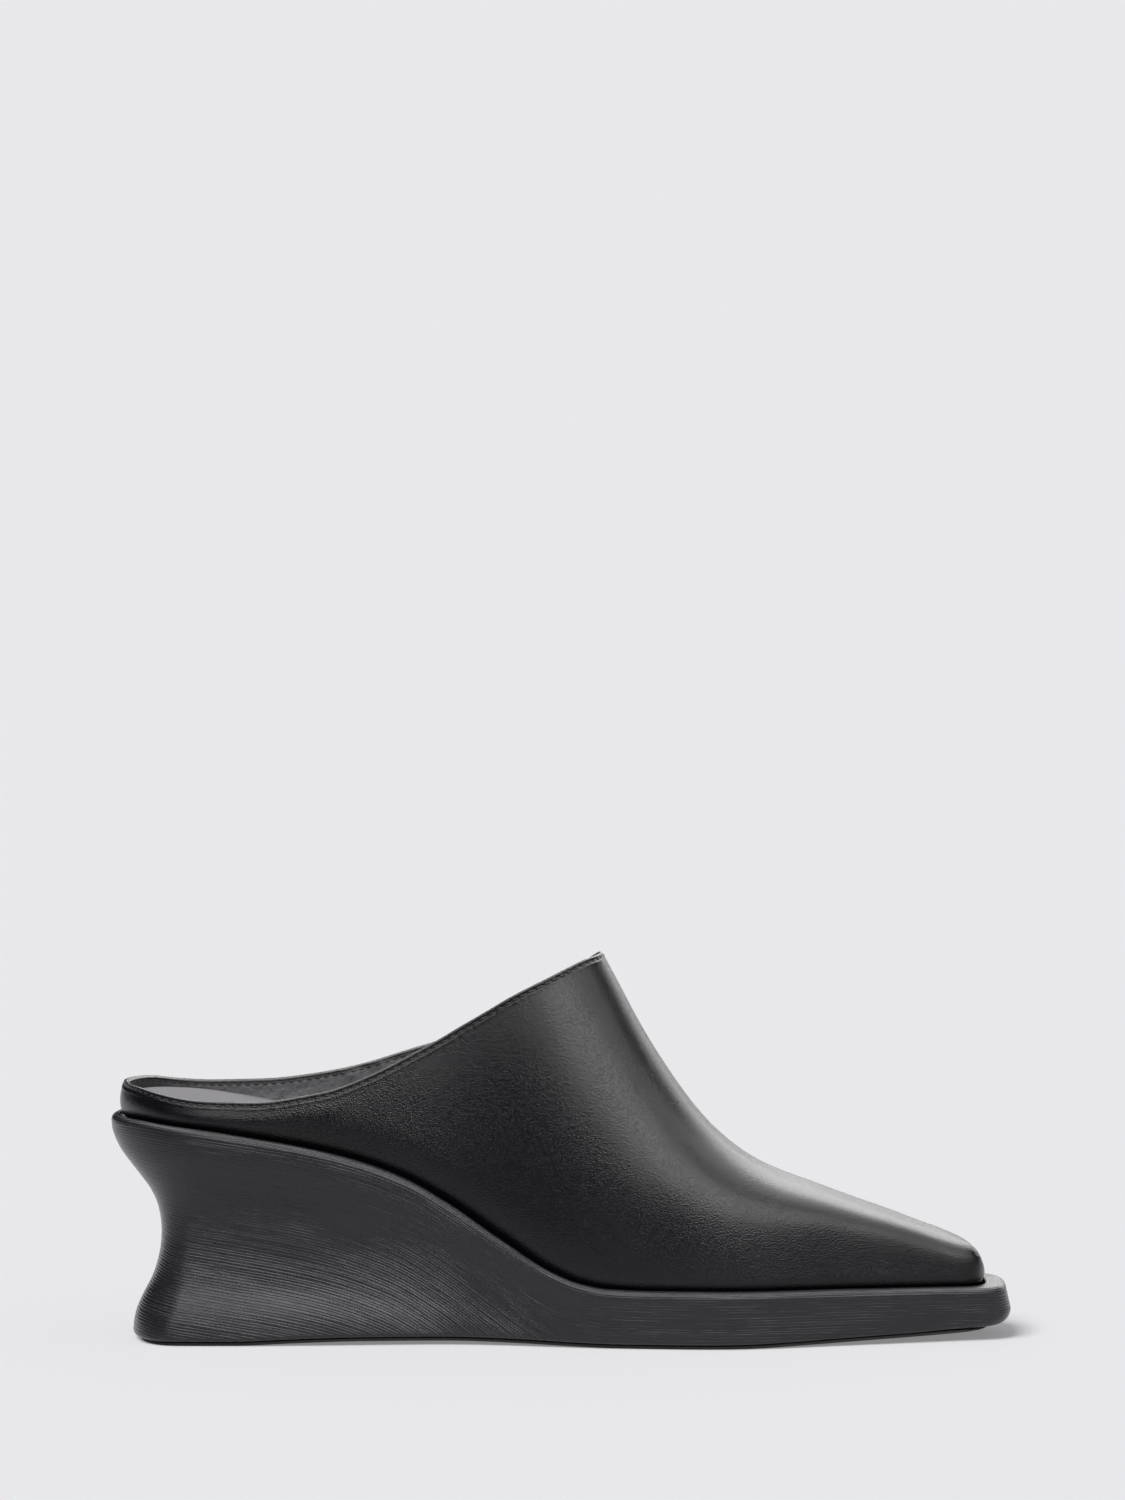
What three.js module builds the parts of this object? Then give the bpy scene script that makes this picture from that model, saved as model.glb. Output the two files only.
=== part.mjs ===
// A square-toed leather mule on a moulded wedge sole: one left shoe, standing on its sole. Lengths are millimetres.
// X runs from the heel to the toe, Y to the wearer's left, which is this shoe's outer side, and Z up.
// The origin is on the floor, under the middle of the shoe's length and width.
// It is four pieces: a rubber outsole, the wedge with a lip round its top, a leather upper lasted into that lip, and a padded insole.
import * as THREE from "three";

// The sole's outline. Half widths are measured from the line through the middle of the heel, inner side and outer side.
const SHOE_LENGTH = 264;
const HEEL_HALF_INNER = 31;
const HEEL_HALF_OUTER = 31;
const BALL_HALF_INNER = 38.5;
const BALL_HALF_OUTER = 41;
const TOE_HALF_INNER = 19.5;
const TOE_HALF_OUTER = 12.5;
const HEEL_ROUND = 30; // how far the round of the heel reaches forward
const TOE_CORNER = 14; // how far a toe corner reaches back
const TOE_SQUARE_INNER = 3.8; // the inner toe corner is tight, and the outer one is a wider round
const TOE_SQUARE_OUTER = 2.2;

// The wedge's heights above the floor, and the form of its heel.
const HEEL_HEIGHT = 65;
const PLATFORM_HEIGHT = 17;
const TOE_LIP_FALL = 1.0;
const ARCH_LIFT = 1.1;
const TOE_SPRING = 2.4;
const HEEL_UNDERCUT = 6.6; // from the lip's back to the heel's foot
const HEEL_FOOT_ROUND = 16;
const HEEL_WAIST = 11.4; // how far the heel draws in between lip and foot
const TOE_LEAN = 1.4; // how much further forward the toe's foot is than its lip
const FOOT_DRAFT = 1.6; // how much narrower the wedge's foot is on each side
const LIP_EDGE = 1.9;
const FOOT_EDGE = 1.1;
const TOE_FOOT_EDGE = 4.2;

// The lip round the upper, and the seat inside it.
const HEEL_LIP = 2.4;
const SIDE_LIP = 3.0;
const TOE_LIP = 6.2;
const SEAT_DEPTH = 2.0;

// The outsole under the wedge.
const OUTSOLE_THICKNESS = 1.0;
const OUTSOLE_INSET = 0.9;

// The upper.
const UPPER_WALL = 1.8;
const LASTING_MARGIN = 9;
const FEATHER_TUCK = 3.2; // how far the wall turns in under itself
const FEATHER_RISE = 4.6; // how high above its foot the wall is widest
const THROAT_REACH = 144.2; // from the heel's back to the collar's highest point
const INSTEP_RISE = 93.9; // the last's ridge above the lip at the throat
const UPPER_HEEL_ROUND = 27.5;
const UPPER_TOE_CORNER = 11;
const TOE_CHISEL = 14.3; // how far the toe's front slopes back from the feather to the ridge
const TOE_CHISEL_FORM = 1.6; // the form of that slope, as in the table of ribs
const RIDGE_SHIFT = 2.8; // the ridge lies this far to the inner side of the middle
const RIM_CROWN = 0.7; // the folded edge stands this far above the wall's two faces

// The insole.
const INSOLE_THICKNESS = 5.5;
const INSOLE_EDGE_GAP = 1.1;
const INSOLE_TOE_GAP = 3.5; // it stops further short of the toe, where the upper comes down
const INSOLE_EDGE_SLOPE = 1.5;
const INSOLE_CROWN = 0.5;

const GAP = 0.35; // between pieces that lie on each other

// How finely the surfaces are divided.
const HEEL_RIBS = 9;
const TOE_RIBS = 8;
const COLLAR_RIBS = 17;
const VAMP_RIBS = 13;
const COLLAR_CROWDING = 1.5; // how much closer the collar's ribs stand at the throat
const EDGE_STEPS = 3;
const TUCK_STEPS = 4;
const WALL_STEPS = 10;

// Lip half width along the shoe, as shares of the heel's, the ball's and the toe's half widths.
const INNER_WIDTH = [
  { along: 0.0, heel: 1.0, ball: 0.0, toe: 0.0 },
  { along: 0.1506, heel: 1.016, ball: 0.0, toe: 0.0 },
  { along: 0.3011, heel: 0.88, ball: 0.06, toe: 0.0 },
  { along: 0.3814, heel: 0.73, ball: 0.16, toe: 0.0 },
  { along: 0.4517, heel: 0.45, ball: 0.45, toe: 0.0 },
  { along: 0.532, heel: 0.17, ball: 0.78, toe: 0.0 },
  { along: 0.6023, heel: 0.03, ball: 0.95, toe: 0.0 },
  { along: 0.6625, heel: 0.0, ball: 1.0, toe: 0.0 },
  { along: 0.7127, heel: 0.0, ball: 0.96, toe: 0.015 },
  { along: 0.7579, heel: 0.0, ball: 0.85, toe: 0.09 },
  { along: 0.8131, heel: 0.0, ball: 0.66, toe: 0.26 },
  { along: 0.8713, heel: 0.0, ball: 0.43, toe: 0.52 },
  { along: 0.9235, heel: 0.0, ball: 0.2, toe: 0.8 },
  { along: 0.9697, heel: 0.0, ball: 0.05, toe: 0.985 },
  { along: 1.0, heel: 0.0, ball: 0.0, toe: 1.0 },
];
const OUTER_WIDTH = [
  { along: 0.0, heel: 1.0, ball: 0.0, toe: 0.0 },
  { along: 0.1506, heel: 1.0, ball: 0.01, toe: 0.0 },
  { along: 0.2269, heel: 0.95, ball: 0.03, toe: 0.0 },
  { along: 0.3011, heel: 0.85, ball: 0.09, toe: 0.0 },
  { along: 0.3814, heel: 0.62, ball: 0.3, toe: 0.0 },
  { along: 0.4517, heel: 0.38, ball: 0.56, toe: 0.0 },
  { along: 0.532, heel: 0.12, ball: 0.86, toe: 0.0 },
  { along: 0.5822, heel: 0.03, ball: 0.97, toe: 0.0 },
  { along: 0.6274, heel: 0.0, ball: 1.0, toe: 0.0 },
  { along: 0.6826, heel: 0.0, ball: 0.965, toe: 0.02 },
  { along: 0.7579, heel: 0.0, ball: 0.8, toe: 0.13 },
  { along: 0.8131, heel: 0.0, ball: 0.62, toe: 0.3 },
  { along: 0.8713, heel: 0.0, ball: 0.41, toe: 0.54 },
  { along: 0.9235, heel: 0.0, ball: 0.2, toe: 0.82 },
  { along: 0.9697, heel: 0.0, ball: 0.06, toe: 1.02 },
  { along: 1.0, heel: 0.0, ball: 0.0, toe: 1.0 },
];

// The lip's height along the shoe: 1 is the heel's height, 0 the platform's. The fall is a share of the toe lip's fall.
const LIP_PROFILE = [
  { along: 0.0, heel: 1.0, fall: 0 },
  { along: 0.0301, heel: 0.998, fall: 0 },
  { along: 0.0622, heel: 0.983, fall: 0 },
  { along: 0.1064, heel: 0.956, fall: 0 },
  { along: 0.1586, heel: 0.91, fall: 0 },
  { along: 0.2158, heel: 0.854, fall: 0 },
  { along: 0.269, heel: 0.783, fall: 0 },
  { along: 0.3257, heel: 0.669, fall: 0 },
  { along: 0.3784, heel: 0.502, fall: 0 },
  { along: 0.4336, heel: 0.292, fall: 0 },
  { along: 0.4888, heel: 0.104, fall: 0 },
  { along: 0.521, heel: 0.037, fall: 0 },
  { along: 0.5521, heel: 0.008, fall: 0 },
  { along: 0.6023, heel: 0.0, fall: 0 },
  { along: 0.7528, heel: 0.0, fall: 0.2 },
  { along: 1.0, heel: 0.0, fall: 1 },
];

// The wedge's underside: shares of the arch's lift and of the toe spring. It is flat under the heel and under the ball.
const FOOT_PROFILE = [
  { along: 0.0, arch: 0, spring: 0 },
  { along: 0.1405, arch: 0, spring: 0 },
  { along: 0.2108, arch: 0.62, spring: 0 },
  { along: 0.2811, arch: 1, spring: 0 },
  { along: 0.3814, arch: 1, spring: 0 },
  { along: 0.4517, arch: 0.72, spring: 0 },
  { along: 0.522, arch: 0.2, spring: 0 },
  { along: 0.5621, arch: 0, spring: 0 },
  { along: 0.6926, arch: 0, spring: 0 },
  { along: 0.7629, arch: 0, spring: 0.2 },
  { along: 0.8532, arch: 0, spring: 0.58 },
  { along: 0.9335, arch: 0, spring: 0.92 },
  { along: 1.0, arch: 0, spring: 1.15 },
];

// How deep the heel's waist is cut along the shoe, as a share of the depth at its back.
const WAIST_ALONG = [
  { along: 0.0, share: 1.0 },
  { along: 0.0402, share: 0.86 },
  { along: 0.1004, share: 0.68 },
  { along: 0.2008, share: 0.5 },
  { along: 0.3212, share: 0.28 },
  { along: 0.4417, share: 0.1 },
  { along: 0.5621, share: 0.0 },
  { along: 1.0, share: 0.0 },
];

// The waist's own curve, from the wedge's foot to its lip.
const WAIST_CURVE = [
  { up: 0.0, share: 0.0 },
  { up: 0.066, share: 0.085 },
  { up: 0.124, share: 0.23 },
  { up: 0.183, share: 0.42 },
  { up: 0.24, share: 0.61 },
  { up: 0.3, share: 0.76 },
  { up: 0.375, share: 0.9 },
  { up: 0.46, share: 0.99 },
  { up: 0.55, share: 1.0 },
  { up: 0.621, share: 0.93 },
  { up: 0.679, share: 0.8 },
  { up: 0.738, share: 0.6 },
  { up: 0.796, share: 0.39 },
  { up: 0.855, share: 0.19 },
  { up: 0.913, share: 0.06 },
  { up: 0.965, share: 0.0 },
  { up: 1.0, share: 0.0 },
];

// The ridge along the top of the last, as a share of the instep's rise above the lip. Behind the throat it is cut away.
const RIDGE = [
  { along: 0.0, rise: 0.262 },
  { along: 0.1004, rise: 0.264 },
  { along: 0.1405, rise: 0.28 },
  { along: 0.1907, rise: 0.38 },
  { along: 0.2269, rise: 0.489 },
  { along: 0.2841, rise: 0.695 },
  { along: 0.3413, rise: 0.92 },
  { along: 0.3975, rise: 1.11 },
  { along: 0.4467, rise: 1.215 },
  { along: 0.4848, rise: 1.22 },
  { along: 0.5119, rise: 1.15 },
  { along: 0.5481, rise: 0.999 },
  { along: 0.5882, rise: 0.792 },
  { along: 0.6213, rise: 0.642 },
  { along: 0.655, rise: 0.514 },
  { along: 0.6886, rise: 0.4224 },
  { along: 0.7217, rise: 0.36 },
  { along: 0.7554, rise: 0.319 },
  { along: 0.789, rise: 0.285 },
  { along: 0.8221, rise: 0.251 },
  { along: 0.8557, rise: 0.219 },
  { along: 0.8894, rise: 0.187 },
  { along: 0.9235, rise: 0.155 },
  { along: 0.9536, rise: 0.122 },
];

// Each rib of the upper stands on its foot and leans to the point of the ridge above it.
// "over" is that point, and "square" is the rib's form: 2 is an ellipse, and more makes a flatter top and a tighter shoulder.
const RIBS = [
  { along: 0.0, over: 0.1004, square: 2.0 },
  { along: 0.0502, over: 0.1064, square: 2.0 },
  { along: 0.1104, over: 0.1355, square: 2.0 },
  { along: 0.1807, over: 0.1857, square: 2.0 },
  { along: 0.2509, over: 0.2509, square: 2.0 },
  { along: 0.4015, over: 0.4015, square: 2.0 },
  { along: 0.5521, over: 0.5521, square: 2.0 },
  { along: 0.6223, over: 0.6213, square: 2.05 },
  { along: 0.7027, over: 0.6966, square: 2.2 },
  { along: 0.783, over: 0.7679, square: 2.5 },
  { along: 0.8633, over: 0.8352, square: 2.85 },
  { along: 0.9335, over: 0.8884, square: 3.1 },
  { along: 1.0, over: 0.9335, square: 3.2 },
];

// The collar's height above the lip, from the heel's back to the throat, as a share of its height at the throat.
const COLLAR = [
  { reach: 0.0, inner: 0.101, outer: 0.101 },
  { reach: 0.06, inner: 0.094, outer: 0.094 },
  { reach: 0.11, inner: 0.0865, outer: 0.0875 },
  { reach: 0.18, inner: 0.083, outer: 0.089 },
  { reach: 0.26, inner: 0.096, outer: 0.109 },
  { reach: 0.332, inner: 0.118, outer: 0.132 },
  { reach: 0.394, inner: 0.153, outer: 0.161 },
  { reach: 0.457, inner: 0.197, outer: 0.199 },
  { reach: 0.52, inner: 0.262, outer: 0.25 },
  { reach: 0.584, inner: 0.346, outer: 0.317 },
  { reach: 0.637, inner: 0.43, outer: 0.38 },
  { reach: 0.7, inner: 0.545, outer: 0.47 },
  { reach: 0.8, inner: 0.74, outer: 0.65 },
  { reach: 0.862, inner: 0.848, outer: 0.785 },
  { reach: 0.92, inner: 0.931, outer: 0.9 },
  { reach: 0.966, inner: 0.98, outer: 0.967 },
  { reach: 1.0, inner: 1.0, outer: 1.0 },
];

const lerp = (a, b, t) => a + (b - a) * t;
const clamp = (x, low, high) => Math.min(high, Math.max(low, x));

// A natural cubic spline through one column of a table: curvature runs on through every row.
function flowing(rows, key, column) {
  const x = rows.map((row) => row[key]);
  const y = rows.map((row) => row[column]);
  const last = x.length - 1;
  const bend = new Array(last + 1).fill(0);
  const work = new Array(last + 1).fill(0);
  for (let i = 1; i < last; i++) {
    const share = (x[i] - x[i - 1]) / (x[i + 1] - x[i - 1]);
    const pivot = share * bend[i - 1] + 2;
    const turn = (y[i + 1] - y[i]) / (x[i + 1] - x[i]) - (y[i] - y[i - 1]) / (x[i] - x[i - 1]);
    bend[i] = (share - 1) / pivot;
    work[i] = ((6 * turn) / (x[i + 1] - x[i - 1]) - share * work[i - 1]) / pivot;
  }
  bend[last] = 0;
  for (let i = last - 1; i >= 0; i--) bend[i] = bend[i] * bend[i + 1] + work[i];
  return (at) => {
    const t = clamp(at, x[0], x[last]);
    let i = 0;
    while (i < last - 1 && t > x[i + 1]) i++;
    const step = x[i + 1] - x[i];
    const a = (x[i + 1] - t) / step;
    const b = (t - x[i]) / step;
    return a * y[i] + b * y[i + 1] + (((a ** 3 - a) * bend[i] + (b ** 3 - b) * bend[i + 1]) * step ** 2) / 6;
  };
}

// A cubic that never swings past a table's rows, so that level stretches stay level.
function steady(rows, key, column) {
  const x = rows.map((row) => row[key]);
  const y = rows.map((row) => row[column]);
  const last = x.length - 1;
  const slopes = x.slice(1).map((value, i) => (y[i + 1] - y[i]) / (value - x[i]));
  const tangents = x.map((value, i) => {
    if (i === 0) return slopes[0];
    if (i === last) return slopes[last - 1];
    const [before, after] = [slopes[i - 1], slopes[i]];
    return before * after <= 0 ? 0 : (2 * before * after) / (before + after);
  });
  return (at) => {
    const t = clamp(at, x[0], x[last]);
    let i = 0;
    while (i < last - 1 && t > x[i + 1]) i++;
    const step = x[i + 1] - x[i];
    const s = (t - x[i]) / step;
    const rise = s * s * (3 - 2 * s);
    return (
      lerp(y[i], y[i + 1], rise) +
      step * (s * (1 - s) ** 2 * tangents[i] - s * s * (1 - s) * tangents[i + 1])
    );
  };
}

function makeSide(sign, heel, ball, toe, toeSquare, rows, collarColumn) {
  const shares = ["heel", "ball", "toe"].map((column) => flowing(rows, "along", column));
  const halfWidth = (x) => shares.reduce((sum, share, k) => sum + [heel, ball, toe][k] * share(x / SHOE_LENGTH), 0);
  return { sign, toeSquare, halfWidth, collarShare: flowing(COLLAR, "reach", collarColumn) };
}
const INNER = makeSide(-1, HEEL_HALF_INNER, BALL_HALF_INNER, TOE_HALF_INNER, TOE_SQUARE_INNER, INNER_WIDTH, "inner");
const OUTER = makeSide(1, HEEL_HALF_OUTER, BALL_HALF_OUTER, TOE_HALF_OUTER, TOE_SQUARE_OUTER, OUTER_WIDTH, "outer");

const lipShare = steady(LIP_PROFILE, "along", "heel");
const lipFall = steady(LIP_PROFILE, "along", "fall");
const archShare = steady(FOOT_PROFILE, "along", "arch");
const springShare = steady(FOOT_PROFILE, "along", "spring");
const waistAlong = flowing(WAIST_ALONG, "along", "share");
const waistCurve = flowing(WAIST_CURVE, "up", "share");
const ridgeShare = flowing(RIDGE, "along", "rise");
const ribOver = flowing(RIBS, "along", "over");
const ribSquare = flowing(RIBS, "along", "square");

const lipHeight = (x) =>
  PLATFORM_HEIGHT +
  (HEEL_HEIGHT - PLATFORM_HEIGHT) * lipShare(x / SHOE_LENGTH) -
  TOE_LIP_FALL * lipFall(x / SHOE_LENGTH);
const footHeight = (x) =>
  OUTSOLE_THICKNESS + GAP + ARCH_LIFT * archShare(x / SHOE_LENGTH) + TOE_SPRING * springShare(x / SHOE_LENGTH);
const footbedSlope = (x) => lipHeight(x + 0.5) - lipHeight(x - 0.5);
// A height that lies a distance above the lip's surface, measured square to the slope of the footbed.
const above = (x, distance) => lipHeight(x) + distance * Math.hypot(1, footbedSlope(x));
const ridgeRise = (x) => INSTEP_RISE * ridgeShare(x / SHOE_LENGTH);

// Stations go from the middle of the heel to the middle of the toe: turns round the heel, a run along the side, turns round the toe.
function stations() {
  const first = UPPER_OUTLINE.start + UPPER_OUTLINE.heelRound;
  const throat = (THROAT_REACH - first) / (UPPER_OUTLINE.end - UPPER_OUTLINE.toeCorner - first);
  const runs = [];
  for (let k = 1; k <= COLLAR_RIBS; k++) runs.push(throat * (1 - (1 - k / COLLAR_RIBS) ** COLLAR_CROWDING));
  for (let k = 1; k <= VAMP_RIBS; k++) runs.push(lerp(throat, 1, k / VAMP_RIBS));
  const list = [];
  for (let k = 0; k <= HEEL_RIBS; k++) list.push({ heelTurn: (Math.PI / 2) * (k / HEEL_RIBS), run: 0, toeTurn: 0 });
  for (const run of runs) list.push({ heelTurn: Math.PI / 2, run, toeTurn: 0 });
  for (let k = 1; k <= TOE_RIBS; k++) list.push({ heelTurn: Math.PI / 2, run: 1, toeTurn: (Math.PI / 2) * (k / TOE_RIBS) });
  return list;
}

// A point of an outline in plan. An outline has a start, an end, the reach and squareness of its two ends, and how far it lies inside the lip.
function planPoint(side, station, outline) {
  const fromHeel = outline.heelRound * (1 - Math.max(0, Math.cos(station.heelTurn)) ** (2 / outline.heelSquare));
  const toToe = outline.toeCorner * Math.sin(station.toeTurn) ** (2 / side.toeSquare);
  const straight = outline.end - outline.toeCorner - outline.start - outline.heelRound;
  const x = outline.start + fromHeel + straight * station.run + toToe;
  const heelShare = Math.sin(station.heelTurn) ** (2 / outline.heelSquare);
  const toeShare = Math.max(0, Math.cos(station.toeTurn)) ** (2 / side.toeSquare);
  const y = heelShare * toeShare * (side.halfWidth(x) - outline.inset);
  return new THREE.Vector3(x, side.sign * (y < 1e-9 ? 0 : y), 0);
}

const LIP_END = SHOE_LENGTH - TOE_LEAN;
const LIP_OUTLINE = { start: 0, end: LIP_END, heelRound: HEEL_ROUND, heelSquare: 2.1, toeCorner: TOE_CORNER, inset: 0 };
const FOOT_OUTLINE = {
  start: HEEL_UNDERCUT,
  end: SHOE_LENGTH,
  heelRound: HEEL_FOOT_ROUND,
  heelSquare: 2.7,
  toeCorner: TOE_CORNER,
  inset: FOOT_DRAFT,
};
const UPPER_OUTLINE = {
  start: HEEL_LIP,
  end: LIP_END - TOE_LIP,
  heelRound: UPPER_HEEL_ROUND,
  heelSquare: 2.1,
  toeCorner: UPPER_TOE_CORNER,
  inset: SIDE_LIP,
};

// Draws an outline in by a distance on every side.
function inside(outline, distance) {
  return {
    ...outline,
    start: outline.start + distance,
    end: outline.end - distance,
    heelRound: outline.heelRound - distance * 0.8,
    toeCorner: outline.toeCorner - distance * 0.3,
    inset: outline.inset + distance,
  };
}

// A loop of points round the shoe: the inner side from heel to toe, then the outer side back to the heel.
function loop(pointAt) {
  const last = STATIONS.length - 1;
  const points = STATIONS.map((station) => pointAt(INNER, station));
  for (let i = last - 1; i > 0; i--) points.push(pointAt(OUTER, STATIONS[i]));
  return points;
}

// Unit directions that point out of a loop, in plan.
function outwards(points) {
  const count = points.length;
  return points.map((point, i) => {
    const along = points[(i + 1) % count].clone().sub(points[(i + count - 1) % count]);
    return new THREE.Vector3(along.y, -along.x, 0).normalize();
  });
}

// Collects triangles and makes a closed geometry of them.
class Skin {
  constructor() {
    this.corners = [];
  }
  triangle(a, b, c) {
    if (a.distanceTo(b) < 1e-6 || b.distanceTo(c) < 1e-6 || c.distanceTo(a) < 1e-6) return;
    for (const p of [a, b, c]) this.corners.push(p.x, p.y, p.z);
  }
  quad(a, b, c, d) {
    if (a.distanceTo(c) <= b.distanceTo(d)) {
      this.triangle(a, b, c);
      this.triangle(a, c, d);
    } else {
      this.triangle(a, b, d);
      this.triangle(b, c, d);
    }
  }
  // A band between two loops. The faces point out when the loops run anticlockwise seen from above and the second is the higher one.
  band(lower, upper) {
    for (let i = 0; i < lower.length; i++) {
      const next = (i + 1) % lower.length;
      this.quad(lower[i], lower[next], upper[next], upper[i]);
    }
  }
  // Fills a loop of 2n points from side to side, each rib against its partner on the other side.
  fill(ring, facesUp) {
    const half = ring.length / 2;
    for (let i = 0; i < half; i++) {
      const a = ring[i];
      const b = ring[i + 1];
      const c = ring[(ring.length - i - 1) % ring.length];
      const d = ring[(ring.length - i) % ring.length];
      if (facesUp) this.quad(a, b, c, d);
      else this.quad(d, c, b, a);
    }
  }
  geometry() {
    const geometry = new THREE.BufferGeometry();
    geometry.setAttribute("position", new THREE.Float32BufferAttribute(this.corners, 3));
    geometry.computeVertexNormals();
    return geometry;
  }
}

const STATIONS = stations();
const THROAT_RIB = HEEL_RIBS + COLLAR_RIBS;

// The wedge: a foot with a rounded edge, a wall that draws in round the heel, a rounded lip and the seat inside it.
function wedgeGeometry() {
  const lip = loop((side, station) => planPoint(side, station, LIP_OUTLINE));
  const foot = loop((side, station) => planPoint(side, station, FOOT_OUTLINE));
  const seat = loop((side, station) => planPoint(side, station, UPPER_OUTLINE));
  const out = outwards(lip);
  const footOut = outwards(foot);
  const toeStart = SHOE_LENGTH * 0.9;
  const footEdge = foot.map((p) => lerp(FOOT_EDGE, TOE_FOOT_EDGE, clamp((p.x - toeStart) / (SHOE_LENGTH - toeStart), 0, 1)));
  const rings = [];
  for (let k = EDGE_STEPS; k >= 0; k--) {
    const turn = (Math.PI / 2) * (k / EDGE_STEPS);
    rings.push(
      foot.map((p, i) =>
        new THREE.Vector3(p.x, p.y, footHeight(p.x) + footEdge[i] * (1 - Math.sin(turn))).addScaledVector(
          footOut[i],
          -footEdge[i] * (1 - Math.cos(turn)),
        ),
      ),
    );
  }
  for (let k = 1; k < WALL_STEPS; k++) {
    const up = k / WALL_STEPS;
    rings.push(
      lip.map((top, i) => {
        const x = lerp(foot[i].x, top.x, up);
        const low = footHeight(foot[i].x) + footEdge[i];
        const high = lipHeight(top.x) - LIP_EDGE;
        const waist = HEEL_WAIST * Math.max(0, waistAlong(top.x / SHOE_LENGTH)) * Math.max(0, waistCurve(up));
        return new THREE.Vector3(x, lerp(foot[i].y, top.y, up), lerp(low, high, up)).addScaledVector(out[i], -waist);
      }),
    );
  }
  for (let k = 0; k <= EDGE_STEPS; k++) {
    const turn = (Math.PI / 2) * (k / EDGE_STEPS);
    rings.push(
      lip.map((p, i) =>
        new THREE.Vector3(p.x, p.y, lipHeight(p.x) - LIP_EDGE * (1 - Math.sin(turn))).addScaledVector(
          out[i],
          -LIP_EDGE * (1 - Math.cos(turn)),
        ),
      ),
    );
  }
  rings.push(seat.map((p) => new THREE.Vector3(p.x, p.y, lipHeight(p.x))));
  rings.push(seat.map((p) => new THREE.Vector3(p.x, p.y, above(p.x, -SEAT_DEPTH))));
  const skin = new Skin();
  skin.fill(rings[0], false);
  for (let k = 1; k < rings.length; k++) skin.band(rings[k - 1], rings[k]);
  skin.fill(rings[rings.length - 1], true);
  return skin.geometry();
}

// The outsole: a sheet that follows the wedge's underside, set in from its edge.
function outsoleGeometry() {
  const outline = inside({ ...FOOT_OUTLINE, end: FOOT_OUTLINE.end - (TOE_FOOT_EDGE - FOOT_EDGE) }, FOOT_EDGE + OUTSOLE_INSET);
  const plan = loop((side, station) => planPoint(side, station, outline));
  const at = (drop) => plan.map((p) => new THREE.Vector3(p.x, p.y, footHeight(p.x) - drop));
  const top = at(GAP);
  const bottom = at(GAP + OUTSOLE_THICKNESS);
  const skin = new Skin();
  skin.fill(bottom, false);
  skin.band(bottom, top);
  skin.fill(top, true);
  return skin.geometry();
}

// Where a rib of the last stands, the point of the ridge it leans to, and its form.
// Round the toe's corners the ribs blend into the chiselled slope of the toe's front.
function ribForm(side, station) {
  const foot = planPoint(side, station, UPPER_OUTLINE);
  foot.z = above(foot.x, FEATHER_RISE + GAP - SEAT_DEPTH);
  const opposite = planPoint(side === INNER ? OUTER : INNER, station, UPPER_OUTLINE);
  const along = (foot.x + opposite.x) / 2 / SHOE_LENGTH;
  const front = Math.sin(station.toeTurn) ** 2;
  const overX = lerp(SHOE_LENGTH * ribOver(along), UPPER_OUTLINE.end - TOE_CHISEL, front);
  const ridgeAt = (x) => lipHeight(x) + ridgeRise(x);
  const shift = clamp(overX / THROAT_REACH, 0, 1);
  const ridge = new THREE.Vector3(overX, INNER.sign * RIDGE_SHIFT * shift * shift * (3 - 2 * shift), ridgeAt(overX));
  const slope = foot.x > THROAT_REACH ? (ridgeAt(overX + 0.5) - ridgeAt(overX - 0.5)) * (1 - front) : 0;
  return { foot, ridge, shoulder: ridge.z + slope * (foot.x - overX), power: 2 / lerp(ribSquare(along), TOE_CHISEL_FORM, front) };
}

// A point of a rib, from where the upper is widest to the ridge: a quarter turn of a superellipse.
function ribPoint(side, station, turn) {
  const { foot, ridge, shoulder, power } = ribForm(side, station);
  const up = Math.sin(turn) ** power;
  const over = 1 - Math.max(0, Math.cos(turn)) ** power;
  return new THREE.Vector3(
    lerp(foot.x, ridge.x, over),
    lerp(foot.y, ridge.y, over),
    foot.z + (shoulder - foot.z) * up + (ridge.z - shoulder) * over,
  );
}

// How far round its turn a rib goes: to the collar behind the throat, and to the ridge in front of it.
function ribEnd(side, station) {
  const { foot, ridge, power } = ribForm(side, station);
  if (foot.x >= THROAT_REACH - 1e-6) return Math.PI / 2;
  const collarZ = lipHeight(foot.x) + ridgeRise(THROAT_REACH) * side.collarShare(foot.x / THROAT_REACH);
  const share = clamp((collarZ - foot.z) / (ridge.z - foot.z), 0.02, 1);
  return Math.asin(share ** (1 / power));
}

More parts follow.
